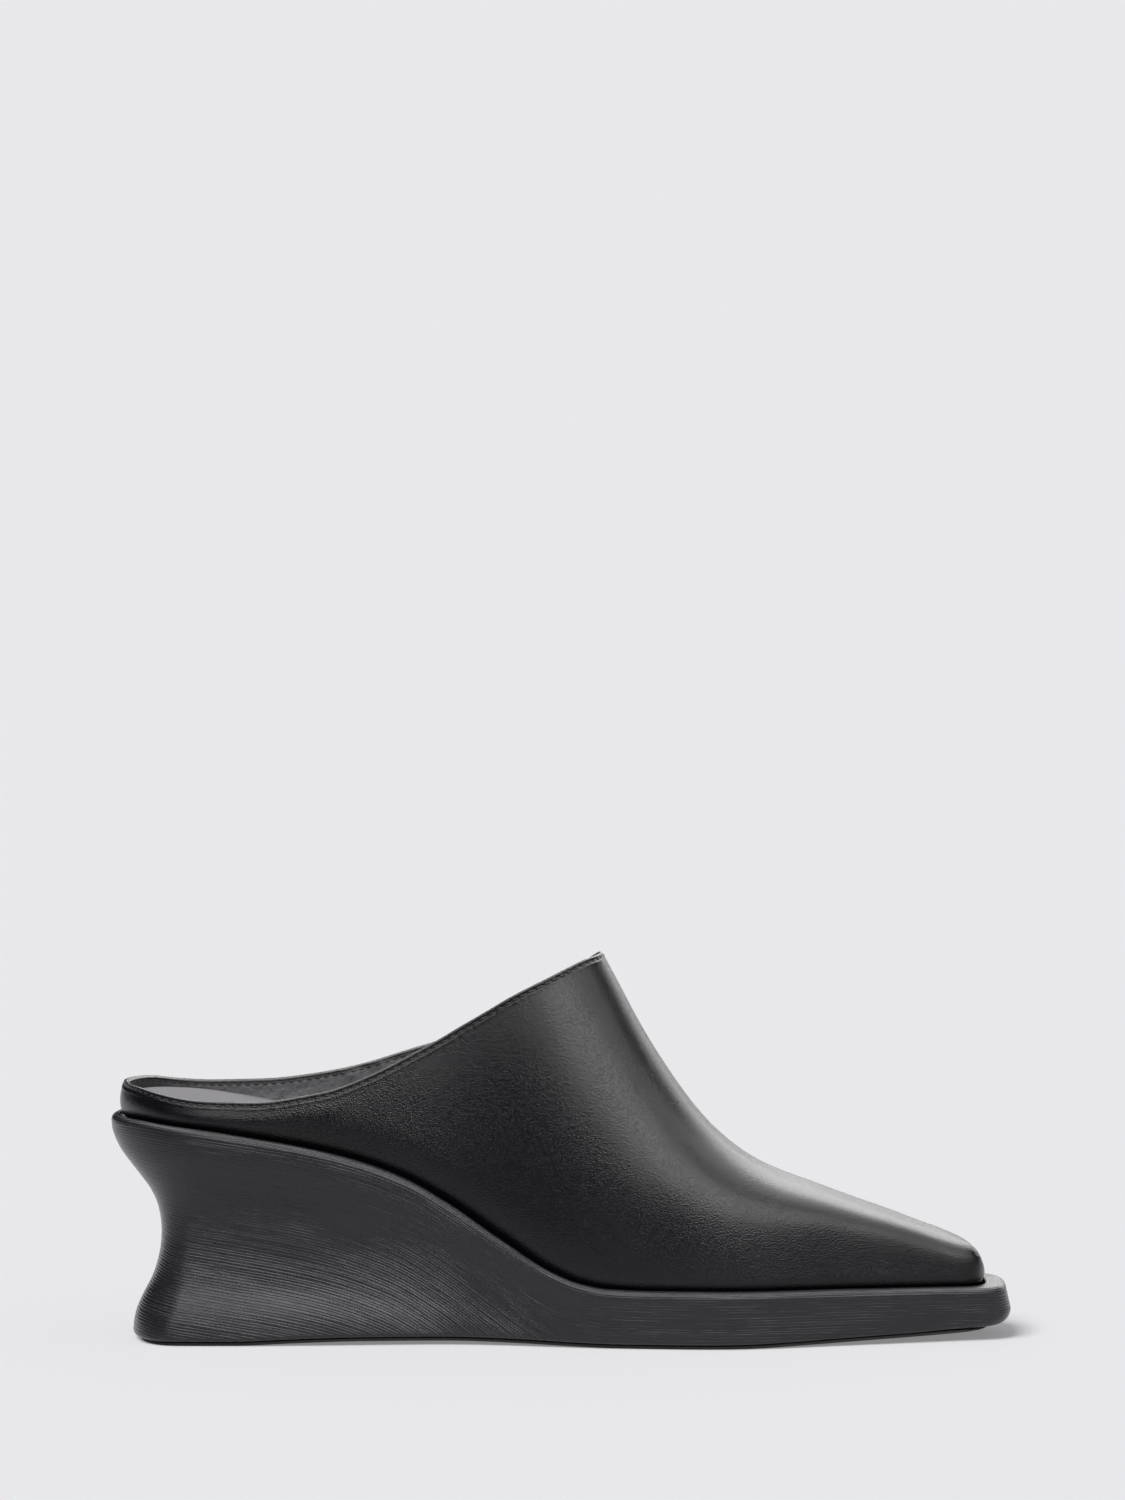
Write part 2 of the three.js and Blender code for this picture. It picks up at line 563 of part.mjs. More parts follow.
// The upper: one wall from its lasted margin up to the collar, closed over the vamp, open at the collar and underneath.
function upperGeometry() {
  const plan = loop((side, station) => planPoint(side, station, UPPER_OUTLINE));
  const out = outwards(plan);
  const count = plan.length;
  const last = STATIONS.length - 1;
  const partner = (i) => (count - i) % count;
  const ribOf = (i) => (i <= last ? i : count - i);
  const foot = (p, i, tuck, rise) =>
    new THREE.Vector3(p.x, p.y, above(p.x, GAP - SEAT_DEPTH + rise)).addScaledVector(out[i], -tuck);
  const rows = [];
  rows.push(plan.map((p, i) => {
    const edge = foot(p, i, FEATHER_TUCK, 0);
    const centreX = clamp(p.x, HEEL_ROUND, SHOE_LENGTH - TOE_LIP - HEEL_ROUND * 0.7);
    const inward = new THREE.Vector3(centreX - edge.x, -edge.y, 0);
    const reach = Math.min(LASTING_MARGIN, inward.length() * 0.6);
    edge.addScaledVector(inward.normalize(), reach);
    edge.z = above(edge.x, GAP - SEAT_DEPTH);
    return edge;
  }));
  for (let k = 0; k < TUCK_STEPS; k++) {
    const turn = (Math.PI / 2) * (k / TUCK_STEPS);
    rows.push(plan.map((p, i) => foot(p, i, FEATHER_TUCK * (1 - Math.sin(turn)), FEATHER_RISE * (1 - Math.cos(turn)))));
  }
  for (let k = 0; k <= WALL_STEPS; k++) {
    rows.push(loop((side, station) => ribPoint(side, station, ribEnd(side, station) * (k / WALL_STEPS))));
  }
  const top = rows.length - 1;
  // The inner face lies one wall inside the outer one.
  const normalAt = (j, i) => {
    const onRidge = j === top && ribOf(i) >= THROAT_RIB;
    const before = rows[j][(i + count - 1) % count];
    const after = rows[j][(i + 1) % count];
    let along = after.clone().sub(before);
    let up = rows[Math.min(j + 1, top)][i].clone().sub(rows[Math.max(j - 1, 0)][i]);
    if (onRidge) {
      const a = Math.max(THROAT_RIB, ribOf(i) - 1);
      const b = Math.min(last, ribOf(i) + 1);
      along = rows[top][b].clone().sub(rows[top][a]);
      const outerSide = rows[top - 1][ribOf(i)];
      const innerSide = rows[top - 1][partner(ribOf(i))];
      up = innerSide.clone().sub(outerSide);
      if (ribOf(i) === last) up = new THREE.Vector3(0, 1, 0);
    }
    return along.cross(up).normalize();
  };
  const inner = rows.map((row, j) => row.map((p, i) => p.clone().addScaledVector(normalAt(j, i), -UPPER_WALL)));
  const skin = new Skin();
  for (let j = 1; j <= top; j++) {
    skin.band(rows[j - 1], rows[j]);
    skin.band(inner[j], inner[j - 1]);
  }
  skin.band(inner[0], rows[0]);
  // The folded edge of the collar, with a low crown.
  const rim = [];
  for (let i = 0; i <= THROAT_RIB; i++) rim.push(i);
  for (let i = THROAT_RIB - 1; i > 0; i--) rim.push(partner(i));
  const crown = rim.map((i) => {
    const rise = rows[top][i].clone().sub(rows[top - 1][i]).normalize();
    return rows[top][i].clone().add(inner[top][i]).multiplyScalar(0.5).addScaledVector(rise, RIM_CROWN);
  });
  const throatUp = new THREE.Vector3(-1, 0, 0);
  crown[THROAT_RIB] = rows[top][THROAT_RIB].clone().add(inner[top][THROAT_RIB]).multiplyScalar(0.5);
  crown[THROAT_RIB].addScaledVector(throatUp, RIM_CROWN);
  skin.band(rim.map((i) => rows[top][i]), crown);
  skin.band(crown, rim.map((i) => inner[top][i]));
  return skin.geometry();
}

// The padded insole on the lasted margin, with a sloping edge and a low crown.
function insoleGeometry() {
  const under = SEAT_DEPTH - GAP - UPPER_WALL - GAP;
  const base = { ...UPPER_OUTLINE, end: UPPER_OUTLINE.end - INSOLE_TOE_GAP };
  const wide = inside(base, UPPER_WALL + INSOLE_EDGE_GAP);
  const narrow = inside(base, UPPER_WALL + INSOLE_EDGE_GAP + INSOLE_EDGE_SLOPE);
  const ring = (outline, rise) =>
    loop((side, station) => {
      const p = planPoint(side, station, outline);
      p.z = above(p.x, rise - under);
      return p;
    });
  const shrink = (points, share, rise) =>
    points.map((p) => {
      const centreX = clamp(p.x, HEEL_ROUND, SHOE_LENGTH - TOE_LIP - HEEL_ROUND * 0.7);
      const x = lerp(p.x, centreX, share);
      return new THREE.Vector3(x, p.y * (1 - share), above(x, INSOLE_THICKNESS + rise - under));
    });
  const bottom = ring(narrow, 0);
  const side = ring(wide, INSOLE_EDGE_SLOPE);
  const top = ring(wide, INSOLE_THICKNESS);
  const crown = shrink(top, 0.4, INSOLE_CROWN);
  const skin = new Skin();
  skin.fill(bottom, false);
  skin.band(bottom, side);
  skin.band(side, top);
  skin.band(top, crown);
  skin.fill(crown, true);
  return skin.geometry();
}

const WEDGE_RUBBER = new THREE.MeshStandardMaterial({ color: "#2f2f33", roughness: 0.62, metalness: 0 });
const OUTSOLE_RUBBER = new THREE.MeshStandardMaterial({ color: "#171715", roughness: 0.8, metalness: 0 });
const UPPER_LEATHER = new THREE.MeshStandardMaterial({ color: "#1b1b1d", roughness: 0.38, metalness: 0 });
const INSOLE_LEATHER = new THREE.MeshStandardMaterial({ color: "#8c8b8c", roughness: 0.55, metalness: 0 });

function piece(name, geometry, material) {
  const mesh = new THREE.Mesh(geometry, material);
  mesh.name = name;
  return mesh;
}

const shoe = new THREE.Group();
shoe.add(piece("outsole", outsoleGeometry(), OUTSOLE_RUBBER));
shoe.add(piece("wedge", wedgeGeometry(), WEDGE_RUBBER));
shoe.add(piece("upper", upperGeometry(), UPPER_LEATHER));
shoe.add(piece("insole", insoleGeometry(), INSOLE_LEATHER));
shoe.position.set(-SHOE_LENGTH / 2, 0, 0);

export default shoe;
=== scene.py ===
import math

import bpy
import numpy as np
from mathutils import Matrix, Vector
from mathutils.bvhtree import BVHTree


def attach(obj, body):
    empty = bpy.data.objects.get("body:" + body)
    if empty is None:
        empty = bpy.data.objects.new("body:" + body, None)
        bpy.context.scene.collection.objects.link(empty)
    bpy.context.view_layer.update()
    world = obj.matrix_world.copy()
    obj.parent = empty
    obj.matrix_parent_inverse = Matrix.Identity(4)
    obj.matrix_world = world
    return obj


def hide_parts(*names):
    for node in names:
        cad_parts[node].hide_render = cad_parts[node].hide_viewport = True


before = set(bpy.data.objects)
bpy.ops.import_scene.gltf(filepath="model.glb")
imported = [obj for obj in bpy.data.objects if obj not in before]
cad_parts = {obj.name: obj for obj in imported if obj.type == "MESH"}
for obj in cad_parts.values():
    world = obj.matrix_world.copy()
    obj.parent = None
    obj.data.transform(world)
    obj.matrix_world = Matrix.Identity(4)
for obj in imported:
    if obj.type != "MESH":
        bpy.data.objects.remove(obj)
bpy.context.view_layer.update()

MM = 0.001

# The shoe's sizes, as in its solids.
SHOE_LENGTH = 264.0
HEEL_HALF_INNER, HEEL_HALF_OUTER = 31.0, 31.0
BALL_HALF_INNER, BALL_HALF_OUTER = 38.5, 41.0
TOE_HALF_INNER, TOE_HALF_OUTER = 19.5, 12.5
HEEL_ROUND, TOE_CORNER = 30.0, 14.0
TOE_SQUARE_INNER, TOE_SQUARE_OUTER = 3.8, 2.2
HEEL_HEIGHT, PLATFORM_HEIGHT, TOE_LIP_FALL = 65.0, 17.0, 1.0
ARCH_LIFT, TOE_SPRING = 1.1, 2.4
HEEL_UNDERCUT, HEEL_FOOT_ROUND, HEEL_WAIST = 6.6, 16.0, 11.4
TOE_LEAN, FOOT_DRAFT = 1.4, 1.6
LIP_EDGE, FOOT_EDGE, TOE_FOOT_EDGE = 1.9, 1.1, 4.2
HEEL_LIP, SIDE_LIP, TOE_LIP, SEAT_DEPTH = 2.4, 3.0, 6.2, 2.0
OUTSOLE_THICKNESS, OUTSOLE_INSET = 1.0, 0.9
UPPER_WALL, LASTING_MARGIN, FEATHER_TUCK, FEATHER_RISE = 1.8, 9.0, 3.2, 4.6
THROAT_REACH, INSTEP_RISE = 144.2, 93.9
UPPER_HEEL_ROUND, UPPER_TOE_CORNER = 27.5, 11.0
TOE_CHISEL, TOE_CHISEL_FORM, RIDGE_SHIFT = 14.3, 1.6, 2.8
INSOLE_THICKNESS, INSOLE_EDGE_GAP, INSOLE_TOE_GAP = 5.5, 1.1, 3.5
INSOLE_EDGE_SLOPE, INSOLE_CROWN, INSOLE_ROLL = 1.5, 0.5, 1.3
GAP = 0.35

# How finely the surfaces are divided.
HEEL_STEPS, COLLAR_STEPS, VAMP_STEPS, TOE_STEPS = 34, 190, 80, 30
RIM_ROWS, RIM_ROW = 20, 0.24
WALL_ROWS, WEDGE_ROWS = 40, 56
RIB_SAMPLES, TUCK_SAMPLES = 420, 24
STATION_CROWDING, ROW_CROWDING = 1.35, 1.15  # over 1 brings the ribs closer at the throat, and the rows at the foot

# Half widths along the shoe, as shares of the heel's, the ball's and the toe's.
INNER_WIDTH = [  # along, heel, ball, toe
    (0.0, 1.0, 0.0, 0.0), (0.1506, 1.016, 0.0, 0.0), (0.3011, 0.88, 0.06, 0.0), (0.3814, 0.73, 0.16, 0.0),
    (0.4517, 0.45, 0.45, 0.0), (0.532, 0.17, 0.78, 0.0), (0.6023, 0.03, 0.95, 0.0), (0.6625, 0.0, 1.0, 0.0),
    (0.7127, 0.0, 0.96, 0.015), (0.7579, 0.0, 0.85, 0.09), (0.8131, 0.0, 0.66, 0.26), (0.8713, 0.0, 0.43, 0.52),
    (0.9235, 0.0, 0.2, 0.8), (0.9697, 0.0, 0.05, 0.985), (1.0, 0.0, 0.0, 1.0),
]
OUTER_WIDTH = [  # along, heel, ball, toe
    (0.0, 1.0, 0.0, 0.0), (0.1506, 1.0, 0.01, 0.0), (0.2269, 0.95, 0.03, 0.0), (0.3011, 0.85, 0.09, 0.0),
    (0.3814, 0.62, 0.3, 0.0), (0.4517, 0.38, 0.56, 0.0), (0.532, 0.12, 0.86, 0.0), (0.5822, 0.03, 0.97, 0.0),
    (0.6274, 0.0, 1.0, 0.0), (0.6826, 0.0, 0.965, 0.02), (0.7579, 0.0, 0.8, 0.13), (0.8131, 0.0, 0.62, 0.3),
    (0.8713, 0.0, 0.41, 0.54), (0.9235, 0.0, 0.2, 0.82), (0.9697, 0.0, 0.06, 1.02), (1.0, 0.0, 0.0, 1.0),
]
LIP_PROFILE = [  # along, share of the heel's height, share of the toe lip's fall
    (0.0, 1.0, 0), (0.0301, 0.998, 0), (0.0622, 0.983, 0), (0.1064, 0.956, 0), (0.1586, 0.91, 0),
    (0.2158, 0.854, 0), (0.269, 0.783, 0), (0.3257, 0.669, 0), (0.3784, 0.502, 0), (0.4336, 0.292, 0),
    (0.4888, 0.104, 0), (0.521, 0.037, 0), (0.5521, 0.008, 0), (0.6023, 0.0, 0), (0.7528, 0.0, 0.2), (1.0, 0.0, 1),
]
FOOT_PROFILE = [  # along, share of the arch's lift, share of the toe spring
    (0.0, 0, 0), (0.1405, 0, 0), (0.2108, 0.62, 0), (0.2811, 1, 0), (0.3814, 1, 0), (0.4517, 0.72, 0),
    (0.522, 0.2, 0), (0.5621, 0, 0), (0.6926, 0, 0), (0.7629, 0, 0.2), (0.8532, 0, 0.58), (0.9335, 0, 0.92),
    (1.0, 0, 1.15),
]
WAIST_ALONG = [  # along, share of the waist's depth
    (0.0, 1.0), (0.0402, 0.86), (0.1004, 0.68), (0.2008, 0.5), (0.3212, 0.28), (0.4417, 0.1), (0.5621, 0.0), (1.0, 0.0),
]
WAIST_CURVE = [  # up the wall, share of the waist's depth
    (0.0, 0.0), (0.066, 0.085), (0.124, 0.23), (0.183, 0.42), (0.24, 0.61), (0.3, 0.76), (0.375, 0.9), (0.46, 0.99),
    (0.55, 1.0), (0.621, 0.93), (0.679, 0.8), (0.738, 0.6), (0.796, 0.39), (0.855, 0.19), (0.913, 0.06),
    (0.965, 0.0), (1.0, 0.0),
]
RIDGE = [  # along, rise above the lip as a share of the instep's
    (0.0, 0.262), (0.1004, 0.264), (0.1405, 0.28), (0.1907, 0.38), (0.2269, 0.489), (0.2841, 0.695), (0.3413, 0.92),
    (0.3975, 1.11), (0.4467, 1.215), (0.4848, 1.22), (0.5119, 1.15), (0.5481, 0.999), (0.5882, 0.792), (0.6213, 0.642),
    (0.655, 0.514), (0.6886, 0.4224), (0.7217, 0.36), (0.7554, 0.319), (0.789, 0.285), (0.8221, 0.251), (0.8557, 0.219),
    (0.8894, 0.187), (0.9235, 0.155), (0.9536, 0.122),
]
RIBS = [  # along, the ridge point that the rib leans to, squareness
    (0.0, 0.1004, 2.0), (0.0502, 0.1064, 2.0), (0.1104, 0.1355, 2.0), (0.1807, 0.1857, 2.0), (0.2509, 0.2509, 2.0),
    (0.4015, 0.4015, 2.0), (0.5521, 0.5521, 2.0), (0.6223, 0.6213, 2.05), (0.7027, 0.6966, 2.2), (0.783, 0.7679, 2.5),
    (0.8633, 0.8352, 2.85), (0.9335, 0.8884, 3.1), (1.0, 0.9335, 3.2),
]
COLLAR = [  # share of the throat's reach, share of the instep's height on the inner and the outer side
    (0.0, 0.101, 0.101), (0.06, 0.094, 0.094), (0.11, 0.0865, 0.0875), (0.18, 0.083, 0.089), (0.26, 0.096, 0.109),
    (0.332, 0.116, 0.132), (0.394, 0.148, 0.161), (0.457, 0.189, 0.199), (0.52, 0.252, 0.25), (0.584, 0.334, 0.317),
    (0.637, 0.417, 0.382), (0.7, 0.531, 0.475), (0.8, 0.727, 0.655), (0.862, 0.839, 0.78), (0.92, 0.926, 0.885),
    (0.966, 0.978, 0.946), (1.0, 1.0, 1.0),
]


def flowing(rows, column):
    """A natural cubic spline through one column of a table."""
    x = np.array([row[0] for row in rows], float)
    y = np.array([row[column] for row in rows], float)
    step = np.diff(x)
    count = len(x)
    matrix = np.eye(count)
    right = np.zeros(count)
    for i in range(1, count - 1):
        matrix[i, i - 1:i + 2] = step[i - 1], 2 * (step[i - 1] + step[i]), step[i]
        right[i] = 6 * ((y[i + 1] - y[i]) / step[i] - (y[i] - y[i - 1]) / step[i - 1])
    bend = np.linalg.solve(matrix, right)

    def at(value):
        t = np.clip(value, x[0], x[-1])
        i = np.clip(np.searchsorted(x, t, side="right") - 1, 0, count - 2)
        h = step[i]
        a, b = (x[i + 1] - t) / h, (t - x[i]) / h
        return a * y[i] + b * y[i + 1] + ((a ** 3 - a) * bend[i] + (b ** 3 - b) * bend[i + 1]) * h ** 2 / 6
    return at


def steady(rows, column):
    """A cubic that never swings past a table's rows."""
    x = np.array([row[0] for row in rows], float)
    y = np.array([row[column] for row in rows], float)
    step = np.diff(x)
    slopes = np.diff(y) / step
    before, after = slopes[:-1], slopes[1:]
    both = before * after > 0
    inner = np.where(both, 2 * before * after / np.where(both, before + after, 1), 0)
    tangents = np.concatenate([[slopes[0]], inner, [slopes[-1]]])

    def at(value):
        t = np.clip(value, x[0], x[-1])
        i = np.clip(np.searchsorted(x, t, side="right") - 1, 0, len(x) - 2)
        s = (t - x[i]) / step[i]
        rise = s * s * (3 - 2 * s)
        bump = s * (1 - s) ** 2 * tangents[i] - s * s * (1 - s) * tangents[i + 1]
        return y[i] + (y[i + 1] - y[i]) * rise + step[i] * bump
    return at


def make_side(sign, heel, ball, toe, toe_square, rows, collar_column):
    """One side of the shoe: its half width along the sole and its collar's height."""
    shares = [(size, flowing(rows, k + 1)) for k, size in enumerate((heel, ball, toe))]
    return {
        "sign": sign,
        "toe_square": toe_square,
        "half_width": lambda x: sum(size * share(x / SHOE_LENGTH) for size, share in shares),
        "collar": flowing(COLLAR, collar_column),
    }


INNER = make_side(-1, HEEL_HALF_INNER, BALL_HALF_INNER, TOE_HALF_INNER, TOE_SQUARE_INNER, INNER_WIDTH, 1)
OUTER = make_side(1, HEEL_HALF_OUTER, BALL_HALF_OUTER, TOE_HALF_OUTER, TOE_SQUARE_OUTER, OUTER_WIDTH, 2)
SIDES = (INNER, OUTER)

lip_share, lip_fall = steady(LIP_PROFILE, 1), steady(LIP_PROFILE, 2)
arch_share, spring_share = steady(FOOT_PROFILE, 1), steady(FOOT_PROFILE, 2)
waist_along, waist_curve = flowing(WAIST_ALONG, 1), flowing(WAIST_CURVE, 1)
ridge_share = flowing(RIDGE, 1)
rib_over, rib_square = flowing(RIBS, 1), flowing(RIBS, 2)


def lip_height(x):
    along = x / SHOE_LENGTH
    return PLATFORM_HEIGHT + (HEEL_HEIGHT - PLATFORM_HEIGHT) * lip_share(along) - TOE_LIP_FALL * lip_fall(along)


def foot_height(x):
    along = x / SHOE_LENGTH
    return OUTSOLE_THICKNESS + GAP + ARCH_LIFT * arch_share(along) + TOE_SPRING * spring_share(along)


def above(x, distance):
    """A height at a distance from the lip's surface, square to the slope of the footbed."""
    return lip_height(x) + distance * np.hypot(1, lip_height(x + 0.5) - lip_height(x - 0.5))


def ridge_rise(x):
    return INSTEP_RISE * ridge_share(x / SHOE_LENGTH)


LIP_END = SHOE_LENGTH - TOE_LEAN
LIP_OUTLINE = dict(start=0, end=LIP_END, heel_round=HEEL_ROUND, heel_square=2.1, toe_corner=TOE_CORNER, inset=0)
FOOT_OUTLINE = dict(start=HEEL_UNDERCUT, end=SHOE_LENGTH, heel_round=HEEL_FOOT_ROUND, heel_square=2.7,
                    toe_corner=TOE_CORNER, inset=FOOT_DRAFT)
UPPER_OUTLINE = dict(start=HEEL_LIP, end=LIP_END - TOE_LIP, heel_round=UPPER_HEEL_ROUND, heel_square=2.1,
                     toe_corner=UPPER_TOE_CORNER, inset=SIDE_LIP)


def make_stations():
    """Heel turn, run along the side and toe turn of every rib, from the middle of the heel to the middle of the toe."""
    first = UPPER_OUTLINE["start"] + UPPER_OUTLINE["heel_round"]
    last = UPPER_OUTLINE["end"] - UPPER_OUTLINE["toe_corner"]
    throat = (THROAT_REACH - first) / (last - first)
    collar = throat * (1 - (1 - np.arange(1, COLLAR_STEPS + 1) / COLLAR_STEPS) ** STATION_CROWDING)
    vamp = throat + (1 - throat) * (np.arange(1, VAMP_STEPS + 1) / VAMP_STEPS) ** STATION_CROWDING
    quarter = math.pi / 2
    turns = np.linspace(0, quarter, HEEL_STEPS + 1)
    toe = quarter * np.arange(1, TOE_STEPS + 1) / TOE_STEPS
    heel_turn = np.concatenate([turns, np.full(COLLAR_STEPS + VAMP_STEPS + TOE_STEPS, quarter)])
    run = np.concatenate([np.zeros(HEEL_STEPS + 1), collar, vamp, np.ones(TOE_STEPS)])
    toe_turn = np.concatenate([np.zeros(HEEL_STEPS + 1 + COLLAR_STEPS + VAMP_STEPS), toe])
    return heel_turn, run, toe_turn


STATIONS = make_stations()
COUNT = len(STATIONS[0])
LAST = COUNT - 1
THROAT_RIB = HEEL_STEPS + COLLAR_STEPS


def plan_points(side, outline):
    """An outline's points on one side, as x and y."""
    heel_turn, run, toe_turn = STATIONS
    heel_power, toe_power = 2 / outline["heel_square"], 2 / side["toe_square"]
    from_heel = outline["heel_round"] * (1 - np.maximum(0, np.cos(heel_turn)) ** heel_power)
    to_toe = outline["toe_corner"] * np.sin(toe_turn) ** toe_power
    straight = outline["end"] - outline["toe_corner"] - outline["start"] - outline["heel_round"]
    x = outline["start"] + from_heel + straight * run + to_toe
    share = np.sin(heel_turn) ** heel_power * np.maximum(0, np.cos(toe_turn)) ** toe_power
    y = share * (side["half_width"](x) - outline["inset"])
    y[share < 1e-6] = 0
    return x, side["sign"] * y


def inside(outline, distance):
    """An outline drawn in by a distance all round."""
    return dict(outline, start=outline["start"] + distance, end=outline["end"] - distance,
                heel_round=outline["heel_round"] - distance * 0.8,
                toe_corner=outline["toe_corner"] - distance * 0.3, inset=outline["inset"] + distance)


def loop_of(outline):
    """A closed outline in plan: the inner side from heel to toe, then the outer side back to the heel."""
    ax, ay = plan_points(INNER, outline)
    bx, by = plan_points(OUTER, outline)
    return np.concatenate([ax, bx[LAST - 1:0:-1]]), np.concatenate([ay, by[LAST - 1:0:-1]])


def outwards(x, y):
    """Unit directions that point out of a closed outline."""
    tx, ty = np.roll(x, -1) - np.roll(x, 1), np.roll(y, -1) - np.roll(y, 1)
    size = np.hypot(tx, ty)
    return ty / size, -tx / size


def new_piece(name, points, faces, materials, face_materials=None, attributes=None):
    """A smooth mesh object in metres from points in millimetres, with its origin at the frame's."""
    mesh = bpy.data.meshes.new(name)
    shifted = (np.asarray(points) - (SHOE_LENGTH / 2, 0, 0)) * MM
    mesh.from_pydata([tuple(p) for p in shifted], [], faces)
    for material in materials:
        mesh.materials.append(material)
    mesh.polygons.foreach_set("use_smooth", [True] * len(mesh.polygons))
    if face_materials is not None:
        mesh.polygons.foreach_set("material_index", face_materials)
    for key, values in (attributes or {}).items():
        layer = mesh.attributes.new(key, "FLOAT", "POINT")
        layer.data.foreach_set("value", np.asarray(values, np.float32))
    mesh.validate()
    mesh.update()
    piece = bpy.data.objects.new(name, mesh)
    bpy.context.collection.objects.link(piece)
    return piece


def band(lower, upper):
    """Quads between two closed rings of point numbers, facing out where the rings run anticlockwise from above."""
    after = np.roll(lower, -1), np.roll(upper, -1)
    return [tuple(int(v) for v in quad) for quad in zip(lower, after[0], after[1], upper)]


def fill(ring, faces_up):
    """Fills a ring from side to side, each rib against its partner on the other side."""
    faces = []
    count = len(ring)
    for i in range(count // 2):
        quad = [ring[i], ring[i + 1], ring[(count - i - 1) % count], ring[(count - i) % count]]
        if not faces_up:
            quad.reverse()
        unique = [int(v) for n, v in enumerate(quad) if v not in quad[:n]]
        if len(unique) > 2:
            faces.append(tuple(unique))
    return faces


def ring_piece(name, rings, materials, attributes=None):
    """A closed piece from stacked rings, from the lowest outside round to the highest inside."""
    size = len(rings[0])
    numbers = [np.arange(size) + k * size for k in range(len(rings))]
    faces = []
    for k in range(1, len(rings)):
        faces += band(numbers[k - 1], numbers[k])
    faces += fill(numbers[0], False) + fill(numbers[-1], True)
    return new_piece(name, np.concatenate(rings), faces, materials, attributes=attributes)


# Materials
def linear(hex_colour):
    """An sRGB hex value as the linear colour that a shader takes."""
    channels = [int(hex_colour[i:i + 2], 16) / 255 for i in (1, 3, 5)]
    return tuple(c / 12.92 if c <= 0.04045 else ((c + 0.055) / 1.055) ** 2.4 for c in channels) + (1,)


def input_of(node, label):
    """A node's input socket, by its number or by its name."""
    label = str(label).lower().replace("_", " ")
    return node.inputs[int(label)] if label.isdigit() else next(s for s in node.inputs if s.name.lower() == label)


def add_node(tree, kind, links=(), **settings):
    """Adds a node; settings that name a socket set its value, and links join other nodes' outputs to its sockets."""
    node = tree.nodes.new(kind)
    for key, value in settings.items():
        if key.startswith("in_"):
            input_of(node, key[3:]).default_value = value
        else:
            setattr(node, key, value)
    for output, target in links:
        tree.links.new(output, input_of(node, target))
    return node


def new_material(name, **shader_settings):
    """A material with its node tree and its shader, whose even values are set by socket name."""
    material = bpy.data.materials.new(name)
    material.use_nodes = True
    tree = material.node_tree
    shader = tree.nodes["Principled BSDF"]
    for key, value in shader_settings.items():
        input_of(shader, key).default_value = value
    return material, tree, shader


def calf_leather():
    """Smooth full-grain calf, drum dyed black and plated: a fine pebble that breaks the gloss, under a thin finish.
    Such a pebble is usually 0.2 to 0.3 mm wide, too fine to show, so it is drawn about 0.45 mm wide."""
    material, tree, shader = new_material("black_calf_leather", ior=1.365, coat_weight=0.06,
                                          coat_roughness=0.2, coat_ior=1.5)
    place = add_node(tree, "ShaderNodeTexCoord").outputs["Object"]
    pebble = add_node(tree, "ShaderNodeTexVoronoi", [(place, "Vector")], in_scale=1 / (0.44 * MM),
                      feature="SMOOTH_F1", in_smoothness=0.2)
    pores = add_node(tree, "ShaderNodeTexNoise", [(place, "Vector")], in_scale=1 / (0.3 * MM),
                     in_detail=1.0, in_roughness=0.5)
    hide = add_node(tree, "ShaderNodeTexNoise", [(place, "Vector")], in_scale=1 / (32 * MM),
                    in_detail=4.0, in_roughness=0.55)
    tone = add_node(tree, "ShaderNodeMix", [(hide.outputs["Fac"], "Factor")],
                    data_type="RGBA", in_6=linear("#09090c"), in_7=linear("#0f0f14"))
    tree.links.new(tone.outputs[2], shader.inputs["Base Color"])
    rough = add_node(tree, "ShaderNodeMapRange", [(hide.outputs["Fac"], "Value")], in_to_min=0.24, in_to_max=0.3)
    tree.links.new(rough.outputs["Result"], shader.inputs["Roughness"])
    grain = add_node(tree, "ShaderNodeBump", [(pebble.outputs["Distance"], "Height")],
                     in_strength=1.0, in_distance=0.085 * MM)
    fine = add_node(tree, "ShaderNodeBump", [(pores.outputs["Fac"], "Height"), (grain.outputs["Normal"], "Normal")],
                    in_strength=1.0, in_distance=0.035 * MM)
    tree.links.new(fine.outputs["Normal"], shader.inputs["Normal"])
    return material


def lining_leather():
    """Goatskin lining, drum dyed dark grey: duller than the calf, with a soft grain and slight creases.
    Such a grain is usually under 0.5 mm, too fine to show, so it is drawn 0.7 mm wide."""
    material, tree, shader = new_material("grey_goatskin_lining", ior=1.4, roughness=0.6)
    place = add_node(tree, "ShaderNodeTexCoord").outputs["Object"]
    grain = add_node(tree, "ShaderNodeTexNoise", [(place, "Vector")], in_scale=1 / (0.7 * MM),
                     in_detail=4.0, in_roughness=0.6)
    cloud = add_node(tree, "ShaderNodeTexNoise", [(place, "Vector")], in_scale=1 / (18 * MM), in_detail=3.0)
    tone = add_node(tree, "ShaderNodeMix", [(cloud.outputs["Fac"], "Factor")],
                    data_type="RGBA", in_6=linear("#646365"), in_7=linear("#757476"))
    tree.links.new(tone.outputs[2], shader.inputs["Base Color"])
    crease = add_node(tree, "ShaderNodeTexNoise", [(place, "Vector")], in_scale=1 / (3.2 * MM),
                      in_detail=3.0, in_roughness=0.55, in_distortion=0.4)
    soft = add_node(tree, "ShaderNodeBump", [(crease.outputs["Fac"], "Height")], in_strength=0.9, in_distance=0.7 * MM)
    bump = add_node(tree, "ShaderNodeBump", [(grain.outputs["Fac"], "Height"), (soft.outputs["Normal"], "Normal")],
                    in_strength=0.8, in_distance=0.12 * MM)
    tree.links.new(bump.outputs["Normal"], shader.inputs["Normal"])
    return material


